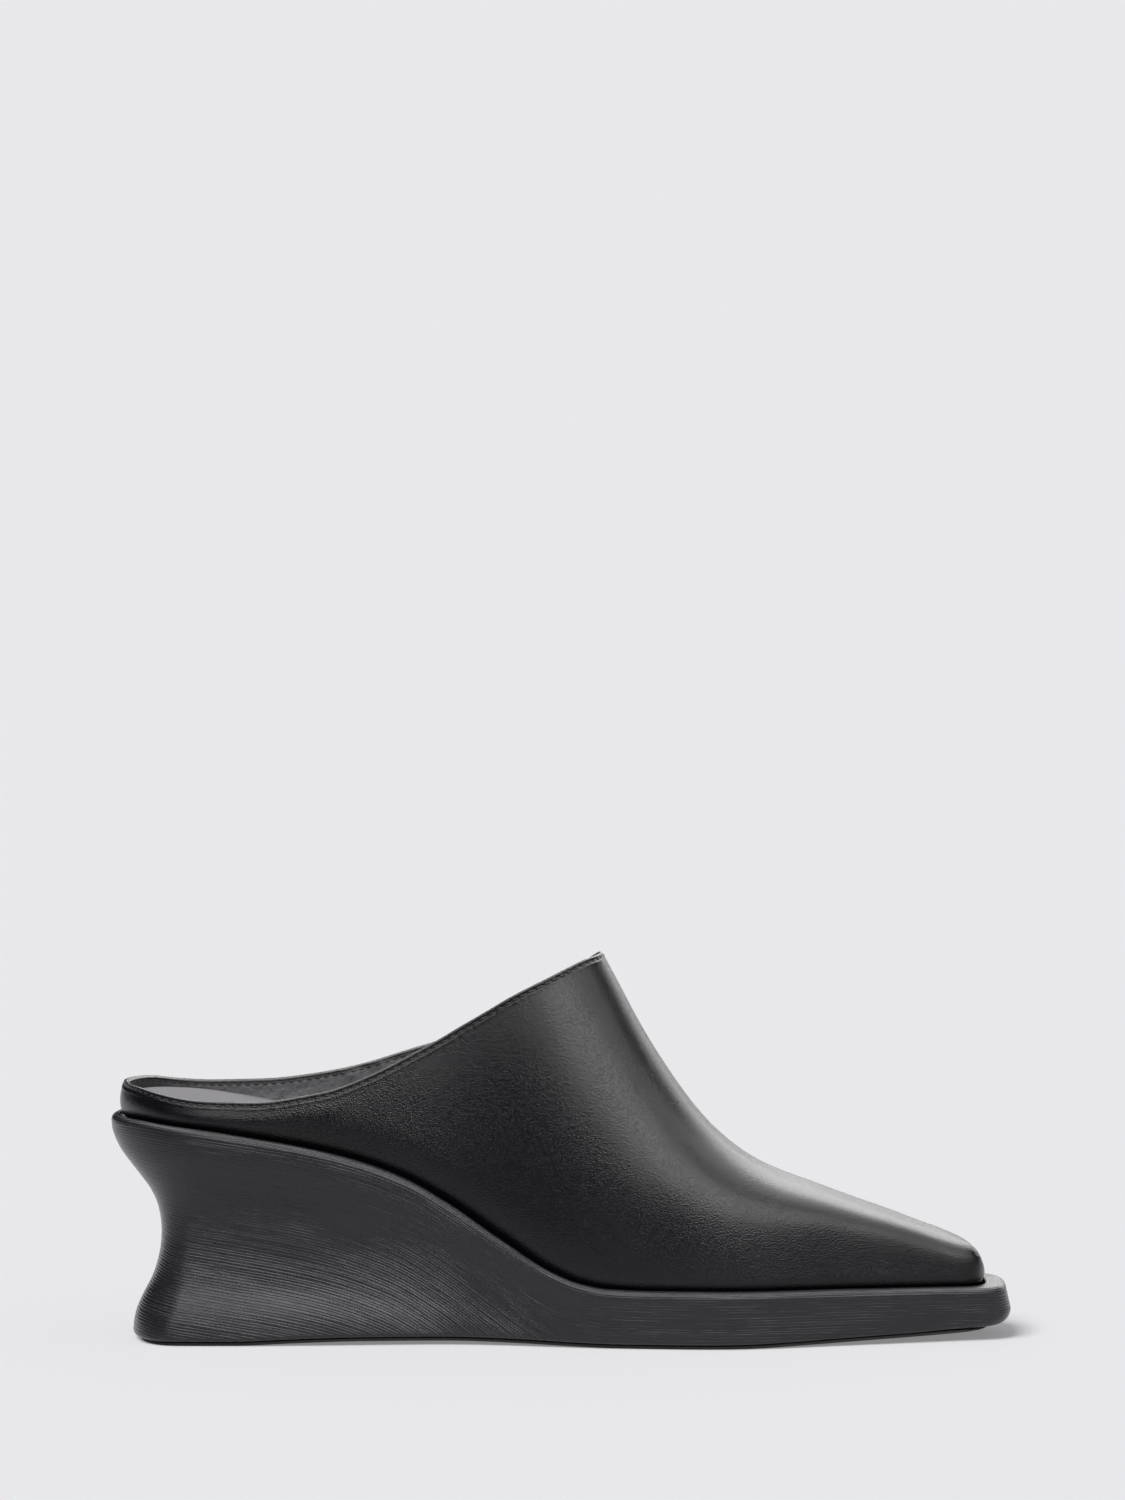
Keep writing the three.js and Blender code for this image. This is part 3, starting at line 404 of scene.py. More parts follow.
def sock_leather():
    """Light grey sheepskin sock, aniline dyed: pale, even and matt.
    Its pores are too fine to show, so they are drawn 0.6 mm wide and very shallow."""
    material, tree, shader = new_material("grey_sheepskin_sock", ior=1.4, specular_ior_level=0.1, roughness=0.6)
    place = add_node(tree, "ShaderNodeTexCoord").outputs["Object"]
    pores = add_node(tree, "ShaderNodeTexNoise", [(place, "Vector")], in_scale=1 / (0.6 * MM), in_detail=3.0)
    cloud = add_node(tree, "ShaderNodeTexNoise", [(place, "Vector")], in_scale=1 / (25 * MM), in_detail=3.0)
    tone = add_node(tree, "ShaderNodeMix", [(cloud.outputs["Fac"], "Factor")],
                    data_type="RGBA", in_6=linear("#747275"), in_7=linear("#7d7b7e"))
    tree.links.new(tone.outputs[2], shader.inputs["Base Color"])
    bump = add_node(tree, "ShaderNodeBump", [(pores.outputs["Fac"], "Height")], in_strength=0.25, in_distance=0.05 * MM)
    tree.links.new(bump.outputs["Normal"], shader.inputs["Normal"])
    return material


LINE_PITCH = 0.82  # millimetres between the wedge's lines, as drawn


def wedge_rubber():
    """Charcoal injection-moulded rubber: a satin skin with fine lines drawn parallel to the lip.
    The real lines are uneven, an estimated 0.7 mm apart, a little too fine to show, so they are drawn 0.8 mm apart.
    They follow the depth under the lip and the run round it, which the piece carries in millimetres."""
    material, tree, shader = new_material("charcoal_moulded_rubber", ior=1.42)
    depth = add_node(tree, "ShaderNodeAttribute", attribute_name="depth").outputs["Fac"]
    run = add_node(tree, "ShaderNodeAttribute", attribute_name="run").outputs["Fac"]
    long_run = add_node(tree, "ShaderNodeMath", [(run, 0)], operation="MULTIPLY", in_1=0.012)
    cell = add_node(tree, "ShaderNodeCombineXYZ", [(long_run.outputs[0], "X"), (depth, "Y")])
    streak = add_node(tree, "ShaderNodeTexNoise", [(cell.outputs[0], "Vector")], in_scale=0.7,
                      in_detail=5.0, in_roughness=0.7)
    wander = add_node(tree, "ShaderNodeMath", [(streak.outputs["Fac"], 0), (depth, 2)],
                      operation="MULTIPLY_ADD", in_1=1.5)
    wave = add_node(tree, "ShaderNodeMath", [(wander.outputs[0], 0)],
                    operation="MULTIPLY", in_1=2 * math.pi / LINE_PITCH)
    lines = add_node(tree, "ShaderNodeMath", [(wave.outputs[0], 0)], operation="SINE")
    patch_run = add_node(tree, "ShaderNodeMath", [(run, 0)], operation="MULTIPLY", in_1=0.03)
    patch_depth = add_node(tree, "ShaderNodeMath", [(depth, 0)], operation="MULTIPLY", in_1=0.08)
    patch_cell = add_node(tree, "ShaderNodeCombineXYZ", [(patch_run.outputs[0], "X"), (patch_depth.outputs[0], "Y")])
    patch = add_node(tree, "ShaderNodeTexNoise", [(patch_cell.outputs[0], "Vector")], in_scale=1.0, in_detail=2.0)
    strength = add_node(tree, "ShaderNodeMapRange", [(patch.outputs["Fac"], "Value")],
                        in_from_min=0.3, in_from_max=0.7, in_to_min=0.3, in_to_max=0.85)
    relief = add_node(tree, "ShaderNodeMath", [(lines.outputs[0], 0), (strength.outputs["Result"], 1)],
                      operation="MULTIPLY")
    tone = add_node(tree, "ShaderNodeMix", [(streak.outputs["Fac"], "Factor")],
                    data_type="RGBA", in_6=linear("#1b1b1f"), in_7=linear("#26262b"))
    # Painted shade and painted highlight: the colour is darkened in the lines' troughs and lightened on their crests.
    dark = add_node(tree, "ShaderNodeMapRange", [(relief.outputs[0], "Value")],
                    in_from_min=-1.0, in_to_min=0.78, in_to_max=1.18)
    drawn = add_node(tree, "ShaderNodeVectorMath", [(tone.outputs[2], 0), (dark.outputs["Result"], "Scale")],
                     operation="SCALE")
    tree.links.new(drawn.outputs[0], shader.inputs["Base Color"])
    rough = add_node(tree, "ShaderNodeMapRange", [(streak.outputs["Fac"], "Value")], in_to_min=0.23, in_to_max=0.31)
    tree.links.new(rough.outputs["Result"], shader.inputs["Roughness"])
    place = add_node(tree, "ShaderNodeTexCoord").outputs["Object"]
    skin = add_node(tree, "ShaderNodeTexNoise", [(place, "Vector")], in_scale=1 / (0.4 * MM), in_detail=3.0)
    first = add_node(tree, "ShaderNodeBump", [(relief.outputs[0], "Height")], in_strength=0.8, in_distance=0.06 * MM)
    second = add_node(tree, "ShaderNodeBump", [(skin.outputs["Fac"], "Height"), (first.outputs["Normal"], "Normal")],
                      in_strength=0.25, in_distance=0.04 * MM)
    tree.links.new(second.outputs["Normal"], shader.inputs["Normal"])
    return material


def outsole_rubber():
    """Black compact rubber, matt from the mould, with a fine spark texture.
    The real texture is too fine to show, so it is drawn 0.5 mm wide."""
    material, tree, shader = new_material("black_compact_rubber", ior=1.5, roughness=0.72)
    place = add_node(tree, "ShaderNodeTexCoord").outputs["Object"]
    spark = add_node(tree, "ShaderNodeTexNoise", [(place, "Vector")], in_scale=1 / (0.5 * MM),
                     in_detail=4.0, in_roughness=0.7)
    tone = add_node(tree, "ShaderNodeMix", [(spark.outputs["Fac"], "Factor")],
                    data_type="RGBA", in_6=linear("#131311"), in_7=linear("#201f1c"))
    tree.links.new(tone.outputs[2], shader.inputs["Base Color"])
    bump = add_node(tree, "ShaderNodeBump", [(spark.outputs["Fac"], "Height")], in_strength=0.5, in_distance=0.1 * MM)
    tree.links.new(bump.outputs["Normal"], shader.inputs["Normal"])
    return material


def sewing_thread():
    """Bonded black polyester thread: a waxy sheen on its twist."""
    material, tree, shader = new_material("black_bonded_thread", base_color=linear("#1a1a1c"), roughness=0.38, ior=1.5)
    place = add_node(tree, "ShaderNodeTexCoord").outputs["Object"]
    twist = add_node(tree, "ShaderNodeTexNoise", [(place, "Vector")], in_scale=1 / (0.25 * MM), in_detail=2.0)
    bump = add_node(tree, "ShaderNodeBump", [(twist.outputs["Fac"], "Height")], in_strength=0.4, in_distance=0.05 * MM)
    tree.links.new(bump.outputs["Normal"], shader.inputs["Normal"])
    return material


CALF, LINING, SOCK = calf_leather(), lining_leather(), sock_leather()
WEDGE_RUBBER, OUTSOLE_RUBBER, THREAD = wedge_rubber(), outsole_rubber(), sewing_thread()


# The wedge
def make_wedge():
    """The moulding from its foot up the drawn-in wall, over the lip and down into the seat."""
    lip_x, lip_y = loop_of(LIP_OUTLINE)
    foot_x, foot_y = loop_of(FOOT_OUTLINE)
    seat_x, seat_y = loop_of(UPPER_OUTLINE)
    out_x, out_y = outwards(lip_x, lip_y)
    fout_x, fout_y = outwards(foot_x, foot_y)
    run = np.concatenate([[0], np.cumsum(np.hypot(np.diff(lip_x), np.diff(lip_y)))])
    toe_start = SHOE_LENGTH * 0.9
    edge = FOOT_EDGE + (TOE_FOOT_EDGE - FOOT_EDGE) * np.clip((foot_x - toe_start) / (SHOE_LENGTH - toe_start), 0, 1)
    rings, depths = [], []

    def add(x, y, z, depth):
        rings.append(np.stack([x, y, z], axis=1))
        depths.append(depth)

    for turn in np.linspace(math.pi / 2, 0, 9):
        draw = edge * (1 - math.cos(turn))
        z = foot_height(foot_x) + edge * (1 - math.sin(turn))
        add(foot_x - fout_x * draw, foot_y - fout_y * draw, z, lip_height(lip_x) - z)
    low = foot_height(foot_x) + edge
    high = lip_height(lip_x) - LIP_EDGE
    for up in np.arange(1, WEDGE_ROWS) / WEDGE_ROWS:
        draw = HEEL_WAIST * np.maximum(0, waist_along(lip_x / SHOE_LENGTH)) * max(0.0, float(waist_curve(up)))
        z = low + (high - low) * up
        x, y = foot_x + (lip_x - foot_x) * up - out_x * draw, foot_y + (lip_y - foot_y) * up - out_y * draw
        add(x, y, z, lip_height(lip_x) - z)
    for turn in np.linspace(0, math.pi / 2, 10):
        draw = LIP_EDGE * (1 - math.cos(turn))
        z = lip_height(lip_x) - LIP_EDGE * (1 - math.sin(turn))
        add(lip_x - out_x * draw, lip_y - out_y * draw, z, lip_height(lip_x) - z - draw)
    edge_x, edge_y = lip_x - out_x * LIP_EDGE, lip_y - out_y * LIP_EDGE
    for share in (0.5, 0.93):
        x, y = edge_x + (seat_x - edge_x) * share, edge_y + (seat_y - edge_y) * share
        add(x, y, lip_height(x), -LIP_EDGE - np.hypot(x - edge_x, y - edge_y))
    inward = -LIP_EDGE - np.hypot(seat_x - edge_x, seat_y - edge_y)
    # The lip turns down into the seat over a slight edge.
    add(seat_x, seat_y, lip_height(seat_x) - 0.12, inward)
    add(seat_x, seat_y, lip_height(seat_x) - 0.5, inward - 0.4)
    add(seat_x, seat_y, above(seat_x, -SEAT_DEPTH), inward - 1.5)
    return ring_piece("wedge_moulding", rings, [WEDGE_RUBBER],
                      attributes={"depth": np.concatenate(depths), "run": np.tile(run, len(rings))})


wedge = make_wedge()
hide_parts("wedge")
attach(wedge, "root")


# The outsole
OUTSOLE_TOE_INSET = 1.6
THIN_FROM, THIN_RUN, THIN_SHARE = 236, 20, 0.6  # where the sheet begins to thin, over what length, by what share
OUTSOLE_PROFILE = [  # drawn in, share of the thickness below the top
    (0.35, 1.0), (0.1, 0.93), (0, 0.75), (0, 0.25), (0.1, 0.07), (0.35, 0),
]


def make_outsole():
    end = FOOT_OUTLINE["end"] - (TOE_FOOT_EDGE - FOOT_EDGE) - OUTSOLE_TOE_INSET
    outline = inside(dict(FOOT_OUTLINE, end=end), FOOT_EDGE + OUTSOLE_INSET)
    x, y = loop_of(outline)
    ox, oy = outwards(x, y)
    thin = 1 - THIN_SHARE * np.clip((x - THIN_FROM) / THIN_RUN, 0, 1) ** 2
    rings = []
    for draw, drop in OUTSOLE_PROFILE:
        px, py = x - ox * draw, y - oy * draw
        rings.append(np.stack([px, py, foot_height(px) - GAP - OUTSOLE_THICKNESS * drop * thin], axis=1))
    return ring_piece("outsole_sheet", rings, [OUTSOLE_RUBBER])


outsole = make_outsole()
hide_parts("outsole")
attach(outsole, "root")


# The upper
# The vamp's inner side stands nearly straight, leans in a little, and turns over a crisp shoulder.
SHOULDER = steady([  # along, share more square
    (0.0, 0.0), (0.52, 0.0), (0.62, 0.2), (0.68, 0.6), (0.74, 1.2), (0.79, 1.5), (0.84, 1.4), (0.89, 1.0),
    (0.94, 0.45), (1.0, 0.1),
], 1)
SHOULDER_DROP = steady([  # along, millimetres
    (0.0, 0.0), (0.48, 0.0), (0.57, 0.3), (0.64, 1.1), (0.7, 1.9), (0.75, 1.9), (0.8, 1.2), (0.87, 0.3), (1.0, 0.0),
], 1)
SIDE_LEAN = 0.05  # sideways, per millimetre of rise
# How far the foot of the wall draws in where it was pulled tight over the last's edge, and how far up that reaches.
DRAWN_IN = steady([  # along, millimetres
    (0.0, 0.35), (0.12, 0.6), (0.25, 1.2), (0.42, 1.4), (0.5, 0.8), (0.6, 0.3), (1.0, 0.2),
], 1)
DRAWN_FROM, DRAWN_RUN = 4.0, 12.5  # in full up to the first, then fading over the second


def middle_line(x):
    """The place on the shoe's middle line that a point of the edge is drawn towards."""
    return np.clip(x, HEEL_ROUND, SHOE_LENGTH - TOE_LIP - HEEL_ROUND * 0.7)


def ridge_height(x):
    return lip_height(x) + ridge_rise(x)


def rib_forms(side):
    """Every rib of one side: its foot, its point on the ridge, the height it makes for, its roundness and its run."""
    x, y = plan_points(side, UPPER_OUTLINE)
    other_x, _ = plan_points(OUTER if side is INNER else INNER, UPPER_OUTLINE)
    along = (x + other_x) / 2 / SHOE_LENGTH
    front = np.sin(STATIONS[2]) ** 2
    over_x = SHOE_LENGTH * rib_over(along) * (1 - front) + (UPPER_OUTLINE["end"] - TOE_CHISEL) * front
    shift = np.clip(over_x / THROAT_REACH, 0, 1)
    ridge = np.stack([over_x, INNER["sign"] * RIDGE_SHIFT * shift ** 2 * (3 - 2 * shift), ridge_height(over_x)], axis=1)
    foot = np.stack([x, y, above(x, FEATHER_RISE + GAP - SEAT_DEPTH)], axis=1)
    slope = np.where(x > THROAT_REACH, (ridge_height(over_x + 0.5) - ridge_height(over_x - 0.5)) * (1 - front), 0)
    shoulder = ridge[:, 2] + slope * (x - over_x)
    crisp = 1 + (SHOULDER(along) if side is INNER else 0)
    power = 2 / (rib_square(along) * crisp * (1 - front) + TOE_CHISEL_FORM * front)
    collar_z = lip_height(x) + ridge_rise(THROAT_REACH) * side["collar"](x / THROAT_REACH)
    share = np.clip((collar_z - foot[:, 2]) / (ridge[:, 2] - foot[:, 2]), 0.02, 1)
    end = np.where(np.arange(COUNT) >= THROAT_RIB, math.pi / 2, np.arcsin(share ** (1 / power)))
    return foot, ridge, shoulder, power, end


def rib_rows(side):
    """Rows of points up every rib, from the tuck at the feather to the rim or the ridge: close together at the top."""
    foot, ridge, shoulder, power, end = rib_forms(side)
    x, y = foot[:, 0], foot[:, 1]
    loop_x, loop_y = loop_of(UPPER_OUTLINE)
    ox, oy = outwards(loop_x, loop_y)
    pick = np.arange(COUNT) if side is INNER else (-np.arange(COUNT)) % len(loop_x)
    ox, oy = ox[pick], oy[pick]
    turn = end[:, None] * np.linspace(0, 1, RIB_SAMPLES)[None, :]
    up = np.sin(turn) ** power[:, None]
    over = 1 - np.maximum(0, np.cos(turn)) ** power[:, None]
    px = foot[:, 0:1] + (ridge[:, 0:1] - foot[:, 0:1]) * over
    py = foot[:, 1:2] + (ridge[:, 1:2] - foot[:, 1:2]) * over
    pz = foot[:, 2:3] + (shoulder[:, None] - foot[:, 2:3]) * up + (ridge[:, 2:3] - shoulder[:, None]) * over
    tucks = []
    for angle in np.linspace(0, math.pi / 2, TUCK_SAMPLES)[:-1]:
        tuck = FEATHER_TUCK * (1 - math.sin(angle))
        z = above(x, GAP - SEAT_DEPTH + FEATHER_RISE * (1 - math.cos(angle)))
        tucks.append(np.stack([x - ox * tuck, y - oy * tuck, z], axis=1))
    curve = np.concatenate([np.stack(tucks, axis=1), np.stack([px, py, pz], axis=2)], axis=1)
    step = np.linalg.norm(np.diff(curve, axis=1), axis=2)
    length = np.concatenate([np.zeros((COUNT, 1)), np.cumsum(step, axis=1)], axis=1)
    rows = np.zeros((COUNT, RIM_ROWS + WALL_ROWS + 1, 3))
    z_low = foot[:, 2]
    for k in range(COUNT):
        total = length[k, -1]
        near = total - RIM_ROW * np.arange(RIM_ROWS + 1)
        at = np.concatenate([near[-1] * np.linspace(0, 1, WALL_ROWS + 1)[:-1] ** ROW_CROWDING, near[::-1]])
        for axis in range(3):
            rows[k, :, axis] = np.interp(at, length[k], curve[k, :, axis])
        if side is INNER:
            width = max(1.0, abs(y[k]))
            lean = SIDE_LEAN * min(1.0, float(SHOULDER(x[k] / SHOE_LENGTH))) * np.cos(STATIONS[2][k]) ** 2
            rise, out = np.maximum(0, rows[k, :, 2] - z_low[k]), abs(rows[k, :, 1]) / width
            rows[k, :, 2] -= SHOULDER_DROP(x[k] / SHOE_LENGTH) * out ** 2 * rise / max(1.0, ridge[k, 2] - z_low[k])
            rows[k, :, 1] *= 1 - lean * rise / width
        drawn_in = DRAWN_IN(x[k] / SHOE_LENGTH) * np.clip(1 - (at - DRAWN_FROM) / DRAWN_RUN, 0, 1) ** 2
        rows[k, :, 0] -= ox[k] * drawn_in
        rows[k, :, 1] -= oy[k] * drawn_in
    base = rows[:, 0].copy()
    centre_x = middle_line(x)
    inward = np.stack([centre_x - base[:, 0], -base[:, 1]], axis=1)
    reach = np.hypot(inward[:, 0], inward[:, 1])
    far = np.minimum(LASTING_MARGIN, reach * 0.6)
    margins = []
    for share in (1.0, 0.5):
        edge = base.copy()
        edge[:, :2] += inward / reach[:, None] * (far * share)[:, None]
        edge[:, 2] = above(edge[:, 0], GAP - SEAT_DEPTH)
        margins.append(edge)
    return np.concatenate([np.stack(margins, axis=1), rows], axis=1)


# The rim from the outside over to the lining: how deep into the wall, and how far above its top.
RIM_PROFILE = [
    (0.02, 0.04), (0.05, 0.08), (0.2, 0.22), (0.36, 0.36), (0.45, 0.41), (0.6, 0.43), (0.8, 0.42),
    (1.0, 0.38), (1.07, 0.33),
    (1.12, 0.33), (1.3, 0.33), (1.48, 0.28), (1.66, 0.17), (1.76, 0.06),
]
TURNED_ROWS = 1  # rows of calf turned over the rim and down inside
TOE_EASE, TOE_EASE_ROUNDS = 10.0, 700  # how far the toe's leather is eased, and how often
STITCH_DROP, STITCH_PITCH = 0.92, 2.65
THREAD_REACH, THREAD_PRESS, LINING_PRESS = 0.42, 0.3, 0.16  # the thread presses the leather in, and the lining less
FULL_RISE, FULL_DROP, FULL_REACH = 0.12, 0.8, 0.45  # the leather stands up just below the stitches
HEEL_RISE, HEEL_DROP, HEEL_REACH = 0.8, 5.4, 2.6  # and in a wider band below the heel's rim
HEEL_BACK, HEEL_FRONT = 9, 75  # that band sets in over the first length, and is gone at the second


def vertex_normals(points, quads):
    """Unit normals of welded points, from the areas of the quads round them."""
    a, b, c, d = (points[quads[:, i]] for i in range(4))
    face = np.cross(c - a, d - b)
    normals = np.zeros_like(points)
    for i in range(4):
        np.add.at(normals, quads[:, i], face)
    return normals / np.maximum(np.linalg.norm(normals, axis=1), 1e-12)[:, None]


def relaxed(points, quads, centre, reach, rounds):
    """Points eased towards the mean of their neighbours, most at the centre and less with distance from it."""
    share = 0.6 * np.exp(-(np.linalg.norm(points - centre, axis=1) / reach) ** 4)
    quads = quads[share[quads].max(axis=1) > 0.001]
    used, local = np.unique(quads, return_inverse=True)
    local = local.reshape(quads.shape)
    one = np.concatenate([local[:, i] for i in range(4)])
    other = np.concatenate([local[:, (i + 1) % 4] for i in range(4)])
    count = np.bincount(one, minlength=len(used)) + np.bincount(other, minlength=len(used))
    eased, share = points[used], share[used]
    for _ in range(rounds):
        total = np.zeros_like(eased)
        np.add.at(total, one, eased[other])
        np.add.at(total, other, eased[one])
        eased = eased + (total / count[:, None] - eased) * share[:, None]
    points = points.copy()
    points[used] = eased
    return points


def surface_tree(points, quads):
    """A search tree for the nearest place on a surface."""
    return BVHTree.FromPolygons([Vector(p) for p in points], [tuple(int(v) for v in q) for q in quads])


def distance_to_line(points, line):
    """The distance from each point to a closed line, and how far along the line its nearest place is."""
    following = np.roll(line, -1, axis=0)
    span = following - line
    lengths = np.linalg.norm(span, axis=1)
    starts = np.concatenate([[0], np.cumsum(lengths)[:-1]])
    best = np.full(len(points), 1e9)
    along = np.zeros(len(points))
    for i in range(len(line)):
        t = np.clip(((points - line[i]) @ span[i]) / max(lengths[i] ** 2, 1e-12), 0, 1)
        away = np.linalg.norm(points - line[i] - t[:, None] * span[i], axis=1)
        closer = away < best
        best[closer] = away[closer]
        along[closer] = starts[i] + t[closer] * lengths[i]
    return best, along


def resample(line, pitch):
    """Points at even spacing round a closed line, and the exact spacing."""
    closed = np.concatenate([line, line[:1]])
    length = np.concatenate([[0], np.cumsum(np.linalg.norm(np.diff(closed, axis=0), axis=1))])
    count = max(3, round(length[-1] / pitch))
    at = np.arange(count) * length[-1] / count
    return np.stack([np.interp(at, length, closed[:, axis]) for axis in range(3)], axis=1), length[-1] / count


SOFT_FOLDS = [  # from, to, reach, height: the instep swells over the throat
    ((157, -31, 47), (171, -31, 42), 13.0, 0.4),
]
LINING_FOLDS = [  # slight creases in the lining alone, where it turns from the heel into the far quarter
    ((62, 25, 80), (72, 26, 72), 1.6, -0.3),
    ((66, 25, 81), (77, 26, 73), 1.5, 0.22),
    ((70, 25, 82), (82, 26, 74), 1.6, -0.28),
    ((76, 26, 84), (87, 26, 76), 1.7, 0.2),
]


def make_upper():
    """The skin and its lining, joined over the folded rim and along the lasted margin, and what the stitches need."""
    sides = [rib_rows(side) for side in SIDES]
    row_count = sides[0].shape[1]
    top = row_count - 1
    numbers = np.full((2, COUNT, row_count), -1, int)
    points = []
    for s in range(2):
        for k in range(COUNT):
            for j in range(row_count):
                shared = s == 1 and (k in (0, LAST) or (j == top and k >= THROAT_RIB))
                if shared:
                    numbers[s, k, j] = numbers[0, k, j]
                else:
                    numbers[s, k, j] = len(points)
                    points.append(sides[s][k, j])
    points = np.array(points)
    a, b = numbers[:, :-1, :-1], numbers[:, 1:, :-1]
    c, d = numbers[:, 1:, 1:], numbers[:, :-1, 1:]
    inner_quads = np.stack([a[0], b[0], c[0], d[0]], axis=2).reshape(-1, 4)
    outer_quads = np.stack([d[1], c[1], b[1], a[1]], axis=2).reshape(-1, 4)
    quads = np.concatenate([inner_quads, outer_quads])
    # The ribs meet where the ridge ends behind the toe, and the leather is drawn smooth over that place.
    points = relaxed(points, quads, points[numbers[0, LAST, top]], TOE_EASE, TOE_EASE_ROUNDS)
    normals = vertex_normals(points, quads)
    rim = np.concatenate([numbers[0, :THROAT_RIB + 1, top], numbers[1, THROAT_RIB - 1:0:-1, top]])
    rim_points = points[rim]
    rim_way = np.roll(rim_points, -1, axis=0) - np.roll(rim_points, 1, axis=0)
    rim_way /= np.linalg.norm(rim_way, axis=1)[:, None]
    rim_up = np.cross(normals[rim], rim_way)
    rim_up /= np.linalg.norm(rim_up, axis=1)[:, None]
    rim_up[rim_up[:, 2] < -0.2] *= -1

    # The stitch line runs a little under the rim, on the outside and through on the lining.
    tree = surface_tree(points, quads)
    line = np.array([tuple(tree.find_nearest(Vector(p - up * STITCH_DROP))[0]) for p, up in zip(rim_points, rim_up)])
    seam, pitch = resample(line, STITCH_PITCH)

    # Pressed by the thread, a little fuller under it, and fuller again down the heel's band.
    near = np.linalg.norm(points[:, None, :] - rim_points[None, ::6, :], axis=2).min(axis=1) < 11
    index = np.where(near)[0]
    away, along = distance_to_line(points[index], line)
    rim_away, _ = distance_to_line(points[index], rim_points)
    holes = 0.72 + 0.28 * np.cos(2 * math.pi * along / pitch)
    press = np.exp(-(away / THREAD_REACH) ** 2) * holes
    at_heel = np.clip(1 - points[index, 0] / HEEL_FRONT, 0, 1) * (1 - np.exp(-(points[index, 0] / HEEL_BACK) ** 2))
    fuller = FULL_RISE * (1.3 - holes) * np.exp(-((rim_away - STITCH_DROP - FULL_DROP) / FULL_REACH) ** 2)
    fuller += HEEL_RISE * at_heel * np.exp(-((rim_away - HEEL_DROP) / HEEL_REACH) ** 2)
    moved = points.copy()
    moved[index] += normals[index] * (fuller - THREAD_PRESS * press)[:, None]
    lined = points - normals * UPPER_WALL
    lined[index] += normals[index] * (LINING_PRESS * press)[:, None]

    # Soft folds that the last and the hand have left: troughs and ridges laid along short lines.
    for start, end, reach, height in SOFT_FOLDS + LINING_FOLDS:
        span = np.array(end, float) - start
        t = np.clip((points - start) @ span / (span @ span), 0, 1)
        away = np.linalg.norm(points - start - t[:, None] * span, axis=1)
        lift = normals * (height * np.exp(-(away / reach) ** 2))[:, None]
        if (start, end, reach, height) in SOFT_FOLDS:
            moved += lift
        lined += lift

    size = len(points)
    everything = [moved, lined]
    faces = [tuple(int(v) for v in q) for q in quads]
    slots = [0] * len(faces)  # 0 is the calf, 1 the lining
    faces += [tuple(int(v) + size for v in q[::-1]) for q in quads]
    row_of = np.concatenate([np.tile(np.arange(row_count - 1), COUNT - 1)] * 2)
    collar_of = np.concatenate([np.repeat(np.arange(COUNT - 1) < THROAT_RIB, row_count - 1)] * 2)
    slots += [0 if turned else 1 for turned in (row_of >= top - TURNED_ROWS) & collar_of]
    # The folded rim.
    previous = rim
    number = 2 * size
    for deep, high in RIM_PROFILE:
        ring = moved[rim] * (1 - deep / UPPER_WALL) + lined[rim] * (deep / UPPER_WALL) + rim_up * high
        everything.append(ring)
        current = np.arange(len(rim)) + number
        number += len(rim)
        faces += band(previous, current)
        slots += [0] * len(rim)
        previous = current
    faces += band(previous, rim + size)
    slots += [0] * len(rim)
    # The lasted margin's edge.
    foot_ring = np.concatenate([numbers[0, :, 0], numbers[1, LAST - 1:0:-1, 0]])
    faces += band(foot_ring + size, foot_ring)
    slots += [0] * len(foot_ring)
    upper = new_piece("lasted_upper", np.concatenate(everything), faces, [CALF, LINING], slots)
    return upper, seam, pitch, moved, lined, quads


upper, seam, stitch_pitch, skin_points, lining_points, skin_quads = make_upper()
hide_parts("upper")
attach(upper, "root")


# The stitches
THREAD_FLAT, STITCH_BOW, STITCH_SINK = 0.8, 0.14, 0.02  # share of its width; millimetres up in the middle, and down


def stitch_shape():
    """One stitch, as a bead of thread that dives at both ends: points along X with Z out of the leather, 1 mm long."""
    bpy.ops.object.select_all(action="DESELECT")
    bpy.ops.mesh.primitive_uv_sphere_add(segments=8, ring_count=8, radius=0.5, rotation=(0, math.pi / 2, 0))
    bead = bpy.context.object
    bpy.ops.object.transform_apply(rotation=True)
    points = np.array([tuple(v.co) for v in bead.data.vertices])
    faces = [tuple(p.vertices) for p in bead.data.polygons]
    bpy.data.objects.remove(bead, do_unlink=True)
    return points, faces


def make_stitches(name, seam, pitch, surface, quads, outward, thread, shown):
    """Stitches along a seam, laid on a surface: the thread's thickness, and the share of the pitch that shows."""
    shape, shape_faces = stitch_shape()
    tree = surface_tree(surface, quads)
    points, faces = [], []
    ends = np.roll(seam, -1, axis=0)
    for start, end in zip(seam, ends):
        middle, normal, _, _ = tree.find_nearest(Vector((start + end) / 2))
        normal = np.array(normal) * outward
        way = (end - start) / np.linalg.norm(end - start)
        way -= normal * (way @ normal)
        way /= np.linalg.norm(way)
        across = np.cross(normal, way)
        long = pitch * shown
        bow = 1 - (2 * shape[:, 0]) ** 2
        local = (np.array(middle) + way * (shape[:, 0:1] * long) + across * (shape[:, 1:2] * thread)
                 + normal * (shape[:, 2:3] * thread * THREAD_FLAT + STITCH_BOW * bow[:, None] - STITCH_SINK))
        number = len(points) * len(shape)
        points.append(local)
        faces += [tuple(v + number for v in face) for face in shape_faces]
    return new_piece(name, np.concatenate(points), faces, [THREAD])


outside_stitches = make_stitches("rim_stitches", seam, stitch_pitch, skin_points, skin_quads, 1, 0.42, 0.78)
lining_stitches = make_stitches("lining_stitches", seam, stitch_pitch, lining_points, skin_quads, -1, 0.36, 0.66)
for stitches in (outside_stitches, lining_stitches):
    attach(stitches, "root")


